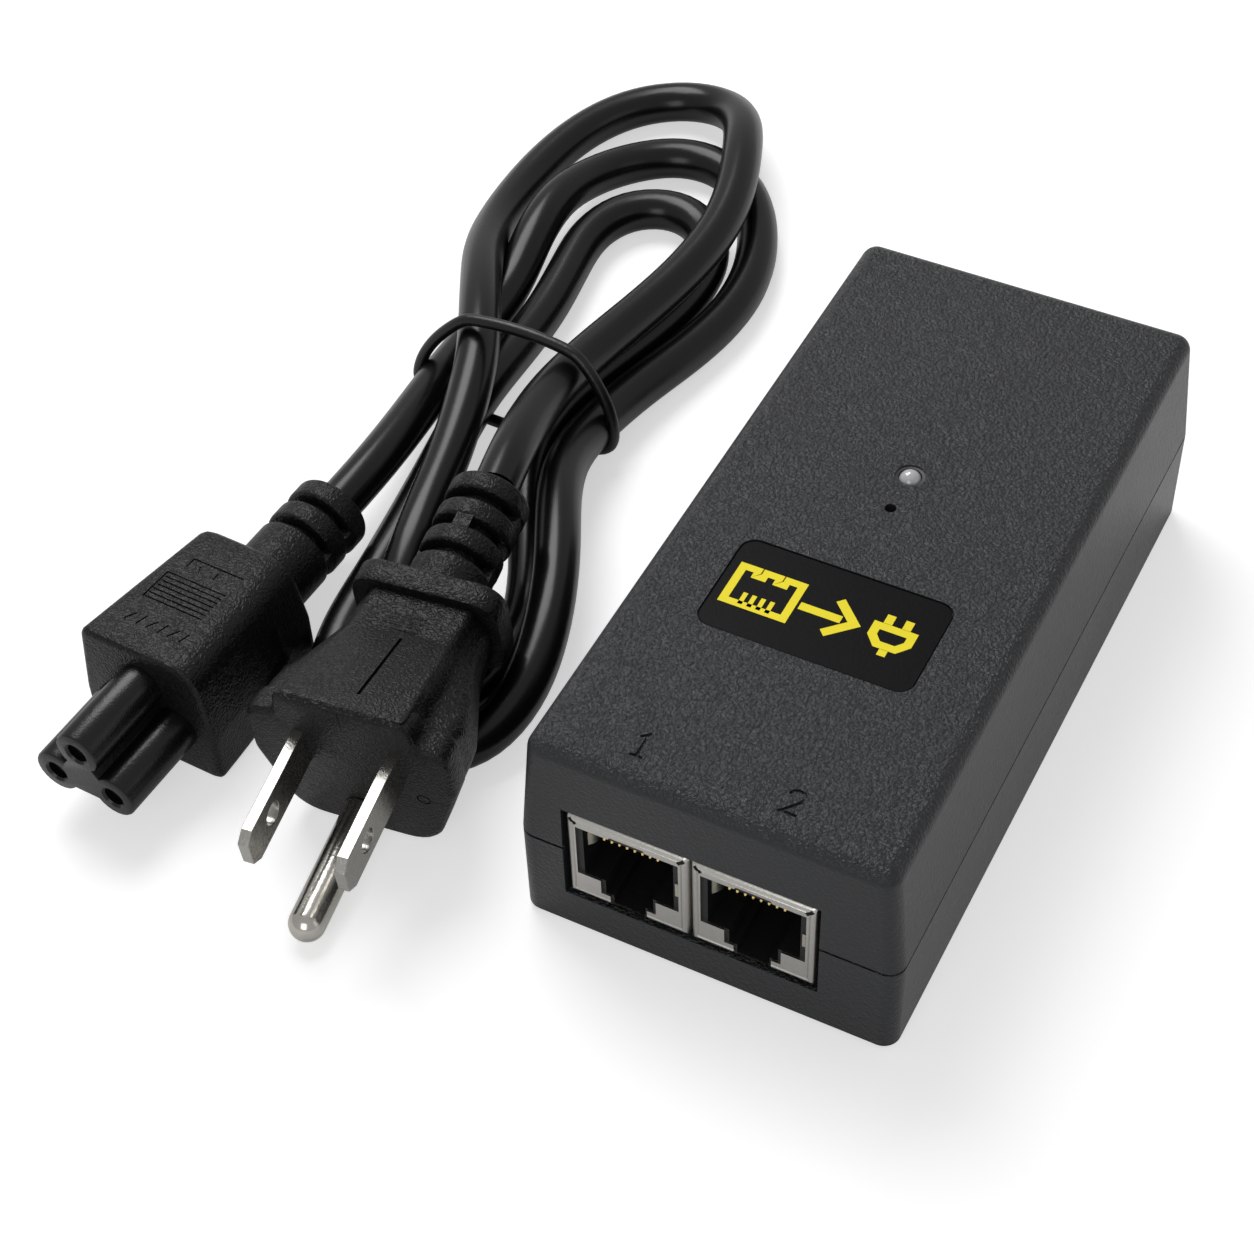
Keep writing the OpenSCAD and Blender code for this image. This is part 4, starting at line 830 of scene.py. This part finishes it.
# The blades' nickel is the pins' nickel painted darker: painted shade that keeps the lamp's
# reflection on their flat faces below white.
shaded_blade_nickel = moulded("shaded_blade_nickel", (0.36, 0.35, 0.325), 0.27, grain=0.004, pebble=1500,
                       spread=0.1, metallic=1.0)
pin_nickel = moulded("pin_nickel", (0.52, 0.50, 0.46), 0.19, grain=0.004, pebble=1500,
                     spread=0.1, metallic=1.0)
blades = copy_of("plug_blades", "flat_blades", shaded_blade_nickel, "cord_set",
                 bevel=0.22, angle=40)
ground_pin = copy_of("plug_ground_pin", "round_pin", pin_nickel, "cord_set",
                     bevel=0.1, angle=50)


# Case. --------------------------------------------------------------------------------
# Two injection-moulded ABS halves in charcoal grey. The top is coarsely spark-eroded, and
# the sides are nearly smooth. Shallow numerals beside the edge count the two ports.
case_plastic = moulded("charcoal_abs", (0.0185, 0.0202, 0.0222), 0.33, grain=0.22, pebble=2000,
                       spread=0.16, patch=45.0, specular=0.36, wrinkle=0.12, level=0.2)


def stroked(lines, width, z0, z1):
    """Upright walls of one width along each polyline of (x, y) pairs, with mitred joints."""
    shapes = []
    for line in lines:
        line = [Vector(p) for p in line]
        closed = (line[0] - line[-1]).length < 1e-6
        if closed:
            line = line[:-1]
        left, right = [], []
        count = len(line)
        for i, p in enumerate(line):
            before = p - line[i - 1] if (i or closed) else line[1] - p
            after = line[(i + 1) % count] - p if (i < count - 1 or closed) else p - line[i - 1]
            a = Vector((-before.y, before.x)).normalized()
            b = Vector((-after.y, after.x)).normalized()
            side = (a + b).normalized()
            side *= width / 2 / max(side.dot(a), 0.35)
            left.append(p + side)
            right.append(p - side)
        points = [Vector((*q, z)) for q in left + right for z in (z0, z1)]
        faces = []
        for i in range(count if closed else count - 1):
            j = (i + 1) % count
            l0, l1, r0, r1 = 2 * i, 2 * j, 2 * (count + i), 2 * (count + j)
            faces += [(l0, l1, l1 + 1, l0 + 1), (r0 + 1, r1 + 1, r1, r0),
                      (l0 + 1, l1 + 1, r1 + 1, r0 + 1), (l0, r0, r1, l1)]
        if not closed:
            last = 2 * (count - 1)
            faces += [(0, 1, 2 * count + 1, 2 * count),
                      (last, 2 * count + last, 2 * count + last + 1, last + 1)]
        shapes.append((points, faces))
    return shapes


def shifted(lines, x, y):
    """The same polylines, moved."""
    return [[(x + a, y + b) for a, b in line] for line in lines]


case_h = 32.6
numeral_y = -45.0
one = [[(-0.75, 1.05), (0.1, 1.75), (0.1, -1.75)], [(-0.7, -1.75), (0.9, -1.75)]]
two = [[(-1.0, 0.95), (-0.75, 1.5), (-0.1, 1.75), (0.6, 1.6), (0.95, 1.0), (0.8, 0.3),
        (-1.0, -1.75), (1.1, -1.75)]]
numerals = stroked(shifted(one, -10.6, numeral_y) + shifted(two, 8.7, numeral_y), 0.42,
                   case_h - 0.3, case_h + 1)
copy_of("upper_shell", "case_top", case_plastic, "injector", bevel=0.16,
        cutters=numerals)
copy_of("lower_shell", "case_base", case_plastic, "injector", bevel=0.12)
steel = moulded("zinc_plated_steel", (0.45, 0.45, 0.46), 0.35, grain=0.004, pebble=2500,
                metallic=1.0)
dressed("case_screws", steel)


# Label. -------------------------------------------------------------------------------
# Back-printed polycarbonate film in a sunk field: near-black satin with three plain
# yellow signs for a port, the direction of power and a powered device.
film = moulded("label_film", (0.004, 0.004, 0.0045), 0.36, grain=0.004, pebble=1400, spread=0.2,
               patch=120.0, specular=0.05)
label_sink = 0.5
film_t = 0.35
film_top = case_h - label_sink + film_t
copy_of("label_inlay", "label_film", film, "injector", bevel=0.06)
ink = moulded("yellow_ink", (1.0, 0.84, 0.03), 0.5, grain=0.003, pebble=3000, spread=0.05,
              specular=0.15)
ink_t = 0.02
sign_y = -17.1
port_sign = [[(-4.0, -2.9), (-4.0, 3.1), (-1.9, 3.1), (-1.9, 2.2), (-1.0, 2.2), (-1.0, 3.1),
              (1.0, 3.1), (1.0, 2.2), (1.9, 2.2), (1.9, 3.1), (4.0, 3.1), (4.0, -2.9),
              (-4.0, -2.9)]]
port_pins = [[(x, -2.9), (x, -0.9)] for x in (-1.8, -0.6, 0.6, 1.8)]
arrow = [[(-3.6, 0.0), (1.9, 0.0)], [(0.6, 2.9), (3.6, 0.0), (0.6, -2.9)]]
plug_sign = [[(-2.3, 1.2), (2.3, 1.2), (2.3, -0.4), (1.2, -1.7), (-1.2, -1.7), (-2.3, -0.4),
              (-2.3, 1.2)],
             [(-1.2, 1.8), (-1.2, 3.3)], [(1.2, 1.8), (1.2, 3.3)], [(0.0, -2.3), (0.0, -3.3)]]
strokes = []
for lines, x, width in ((port_sign, -8.3, 1.05), (port_pins, -8.3, 0.6), (arrow, 0.2, 1.2),
                        (plug_sign, 8.6, 1.1)):
    strokes += stroked(shifted(lines, x, sign_y), width, film_top - ink_t, film_top + ink_t)
piece("label_signs", *in_metres(joined(strokes)), ink, "injector", "label_film")


# Status light and reset. --------------------------------------------------------------
# A frosted 3 mm lamp stands in a hole. A thin black ring in the gap round it is painted
# shade for the dark gap between lamp and hole. Beside it, a pinhole leads down to a short
# plunger, which presses a small dome switch on the board.
led_y = 9.2
lens_r = 1.5
lens_foot_r = 1.9
lens_foot_z = 27.9
dome_z = 31.7


def round_lamp(r, a, z):
    """A point in metres at a radius and an angle from the lamp's axis."""
    return Vector((r * math.cos(a), led_y + r * math.sin(a), z)) * MM


lens_profile = [(lens_foot_z, 0.05), (lens_foot_z, lens_foot_r), (lens_foot_z + 1, lens_foot_r),
                (lens_foot_z + 1, lens_r)]
for degrees in range(0, 91, 9):
    rise = math.radians(degrees)
    lens_profile.append((dome_z + lens_r * math.sin(rise), max(lens_r * math.cos(rise), 0.02)))
lens_rings = [[round_lamp(r, a, z) for a in turns(40)] for z, r in lens_profile]
epoxy = moulded("frosted_epoxy", (0.50, 0.51, 0.52), 0.06, grain=0.003, pebble=1500,
                spread=0.12, patch=500.0)
epoxy_skin = epoxy.node_tree.nodes["Principled BSDF"]
epoxy_skin.inputs["Coat Weight"].default_value = 1.0
epoxy_skin.inputs["Subsurface Weight"].default_value = 0.25
epoxy_skin.inputs["Subsurface Radius"].default_value = (0.001, 0.001, 0.001)
lens = piece("status_lens", *lofted(lens_rings), epoxy, "injector", "led_epoxy", 50)
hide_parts("status_led")
white_nylon = moulded("white_nylon", (0.62, 0.61, 0.57), 0.5, grain=0.01, pebble=1500,
                      spread=0.05)
black_nylon = moulded("black_nylon", (0.012, 0.012, 0.013), 0.5, grain=0.012, pebble=1500)
brown_nylon = moulded("brown_nylon", (0.10, 0.045, 0.02), 0.45, grain=0.01, pebble=1500)
# A thin black ring of painted shade fills the gap between the lens and its hole, where the gap
# falls dark.
shade_ring_section = [(1.52, case_h - 0.3), (1.93, case_h - 0.3), (1.93, case_h - 0.18),
                 (1.52, case_h - 0.24)]
shade_ring = [[round_lamp(r, a, z) for r, z in shade_ring_section] for a in turns(40)]
piece("painted_shade_ring", *lofted(shade_ring, closed=True), black_nylon, "injector", "black_nylon", 40)
tinned = moulded("tinned_wire", (0.60, 0.60, 0.60), 0.28, grain=0.004, pebble=2500,
                 metallic=1.0)
dressed("led_spacer", white_nylon)
dressed("led_leads", tinned)
dressed("reset_button", moulded("plunger_nylon", (0.80, 0.79, 0.75), 0.35, grain=0.008,
                                pebble=1500))
dressed("reset_switch", black_nylon)
dressed("switch_stem", brown_nylon)


# Shielded jacks. ----------------------------------------------------------------------
# Each is a nickel-plated sheet folded round a black moulding. Relief slots are cut at the
# top corners, spring leaves touch the plug's sides, and eight gold wires lean down inside.
jack_w = 16.2
jack_h = 15.0
jack_l = 21.0
jack_face_y = -50.8
jack_z = 7.2
shield_t = 0.4
port_w = 13.6
port_h = 8.9
port_z = 4.2
latch_w = 7.4
shield_nickel = moulded("shield_nickel", (0.50, 0.485, 0.455), 0.30, grain=0.004, pebble=1200,
                        spread=0.08, metallic=1.0)
leaf_metal = moulded("spring_leaf", (0.46, 0.43, 0.36), 0.3, grain=0.004, pebble=2500,
                     metallic=1.0)
gold_wire = moulded("gold_wire", (0.95, 0.66, 0.22), 0.22, grain=0.003, pebble=3000, spread=0.05,
                    metallic=1.0)
cavity_black = moulded("jack_plastic", (0.009, 0.010, 0.010), 0.42, grain=0.01, pebble=1500,
                       specular=0.3)


def port_cut(y0, y1):
    """The port's stepped outline as a cutter along Y, with a shallow notch in its roof."""
    w, s, t = port_w / 2, latch_w / 2, latch_w / 3
    notch = 2.2
    roof = port_z + port_h
    line = [(-w, port_z), (-s, port_z), (-s, port_z - 2.4), (-t, port_z - 2.4),
            (-t, port_z - 3.8), (t, port_z - 3.8), (t, port_z - 2.4), (s, port_z - 2.4),
            (s, port_z), (w, port_z), (w, roof), (notch + 0.25, roof),
            (notch, roof + 0.4), (-notch, roof + 0.4), (-notch - 0.25, roof), (-w, roof)]
    return lofted([upright(line, y) for y in (y0, y1)])


def shield_ring(y, inset):
    """One section of a shield."""
    w, h = jack_w / 2 - inset, jack_h - inset
    corners = [(-w, inset), (-w, h), (w, h), (w, inset)]
    return upright(rounded_outline(corners, [0.15, 0.55, 0.55, 0.15], 5), y)


# The front of a shield is folded in: (depth behind the face, inset) from the port outwards.
shield_fold = [(0.05, 1.05), (0.14, 0.95), (0.02, 0.78), (0.05, 0.5), (0.25, 0.2), (0.6, 0.0),
               (jack_l, 0.0)]
side_x = (jack_w - shield_t) / 2
peg_y = jack_face_y + jack_l * 0.57
peg_half = 0.8
leaf_t = 0.18
wire_pitch = 1.02
wire_r = 0.22
wire_tip_r = 0.14
for name, x in (("poe", -10.15), ("lan", 6.35)):
    seat = Matrix.Scale(MM, 4) @ Matrix.Translation((x, 0, jack_z))
    y = jack_face_y
    shell = piece(name + "_shield", *lofted([shield_ring(y + d, i) for d, i in shield_fold]),
                  shield_nickel, "injector", "nickel_shield")
    hollow = boxed((-jack_w / 2 + shield_t, y + shield_t, -1),
                   (jack_w / 2 - shield_t, y + jack_l - shield_t, jack_h - shield_t))
    slots = []
    for side in (-1, 1):
        cut, faces = boxed((-0.27, y - 1, -0.6), (0.27, y + 0.9, 0.6))
        spin = Matrix.Rotation(math.radians(45 * side), 3, "Y")
        corner = Vector((side * (jack_w / 2 - 0.95), 0, jack_h - 0.95))
        slots.append(([spin @ p + corner for p in cut], faces))
    carved(shell, [hollow, port_cut(y - 1, y + 0.9)] + slots)
    pegs = bmesh.new()
    pegs.from_mesh(shell.data)
    for side in (-1, 1):
        points, faces = boxed((side * side_x - shield_t / 2, peg_y - peg_half, -2.1),
                              (side * side_x + shield_t / 2, peg_y + peg_half, 0.2))
        made = [pegs.verts.new(p) for p in points]
        for face in faces:
            pegs.faces.new([made[i] for i in face])
    pegs.to_mesh(shell.data)
    pegs.free()
    shell.data.transform(seat)
    finished(shell, shield_nickel, 32)
    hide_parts(name + "_jack_shield")

    leaves = []
    for side, low, high, reach in ((-1, 8.3, 10.7, 0.9), (1, 8.2, 10.0, 0.5)):
        wall_x = side * 6.0
        path = [(wall_x + side * 0.5, y + 0.45), (wall_x + side * 0.1, y + 1.4),
                (wall_x - side * reach * 0.5, y + 2.0), (wall_x - side * reach, y + 2.8),
                (wall_x - side * reach * 0.8, y + 3.5), (wall_x + side * 0.05, y + 4.6)]
        path = eased([Vector(p) for p in path], 4)
        rows = [[Vector((p[0], p[1], z)) for p in path] for z in (low, high)]
        back = [[Vector((p[0] + side * leaf_t, p[1], z)) for p in path] for z in (low, high)]
        ring = [[rows[0][i], rows[1][i], back[1][i], back[0][i]] for i in range(len(path))]
        leaves.append(lofted(ring))
    leaves.append(boxed((6.3, y + 0.18, 7.0), (6.72, y + 0.38, 9.4)))
    piece(name + "_spring_leaves", *moved(joined(leaves), seat), leaf_metal, "injector",
          "nickel_shield", 50)

    wires = []
    for i in range(8):
        path = [Vector(((i - 3.5) * wire_pitch, y + back, z))
                for back, z in ((1.25, 10.95), (1.6, 11.5), (2.6, 11.7), (6.0, 10.8),
                                (10.2, 9.72), (13.4, 9.6))]
        path = eased(path, 4)
        rings = []
        for j, p in enumerate(path):
            ahead = (path[min(j + 1, len(path) - 1)] - path[max(j - 1, 0)]).normalized()
            up = Vector((1, 0, 0)).cross(ahead).normalized()
            size = wire_tip_r if j == 0 else wire_r
            rings.append([p + size * (math.cos(a) * Vector((1, 0, 0)) + math.sin(a) * up)
                          for a in turns(10)])
        wires.append(lofted(rings))
    contact = piece(name + "_spring_wires", *moved(joined(wires), seat), gold_wire, "injector",
                    "gold_contact", 60)
    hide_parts(name + "_jack_contacts")
    dressed(name + "_jack_housing", cavity_black)


# Mains inlet. -------------------------------------------------------------------------
# Three-pole appliance inlet in the rear face: a black glass-filled nylon body with a lobed
# well, and three round plated pins soldered to the board.
copy_of("inlet_housing", "inlet_body", black_nylon, "injector", bevel=0.25, angle=50)
dressed("inlet_pins", pin_nickel)


# Board and what it carries. -----------------------------------------------------------
# Green glass-epoxy laminate on three posts, over a fish-paper sheet. The mains side is at
# the rear, the isolation gap in the middle, and the output side behind the jacks.
dressed("main_board", moulded("green_laminate", (0.02, 0.10, 0.035), 0.3, grain=0.01, pebble=500,
                              spread=0.12))
dressed("board_screws", steel)
dressed("insulation_sheet", moulded("fish_paper", (0.16, 0.15, 0.13), 0.75, grain=0.02, pebble=700,
                                    spread=0.12, patch=200.0))
dressed("fuse", brown_nylon)
dressed("varistor", moulded("blue_coating", (0.03, 0.09, 0.32), 0.32, grain=0.02, pebble=500))
dressed("safety_capacitor", moulded("blue_disc_coating", (0.04, 0.16, 0.40), 0.34, grain=0.02,
                                    pebble=500))
dressed("filter_capacitor", moulded("yellow_box", (0.60, 0.40, 0.06), 0.4, grain=0.01, pebble=900))
dressed("choke_core", moulded("green_ferrite", (0.035, 0.11, 0.05), 0.42, grain=0.02, pebble=700))
dressed("choke_windings", moulded("enamelled_copper", (0.52, 0.20, 0.07), 0.25, grain=0.03,
                                  pebble=1300, metallic=1.0))
black_epoxy = moulded("black_epoxy", (0.016, 0.016, 0.017), 0.5, grain=0.01, pebble=1600)
for node in ("bridge_rectifier", "controller_chip", "switching_transistor", "output_rectifier"):
    dressed(node, black_epoxy)
sleeve = moulded("shrink_sleeve", (0.02, 0.025, 0.06), 0.28, grain=0.01, pebble=600)
dressed("bulk_capacitor", sleeve)
dressed("output_capacitors", sleeve)
extruded = moulded("extruded_aluminium", (0.62, 0.63, 0.64), 0.34, grain=0.008, pebble=1800,
                   metallic=1.0)
dressed("primary_heat_sink", extruded)
dressed("secondary_heat_sink", extruded)
ferrite = moulded("grey_ferrite", (0.045, 0.045, 0.05), 0.55, grain=0.02, pebble=900)
dressed("transformer_core", ferrite)
dressed("output_inductor", ferrite)
dressed("transformer_bobbin", black_nylon)
dressed("transformer_winding", moulded("yellow_tape", (0.70, 0.52, 0.06), 0.3, grain=0.015,
                                       pebble=400))
dressed("optocoupler", white_nylon)
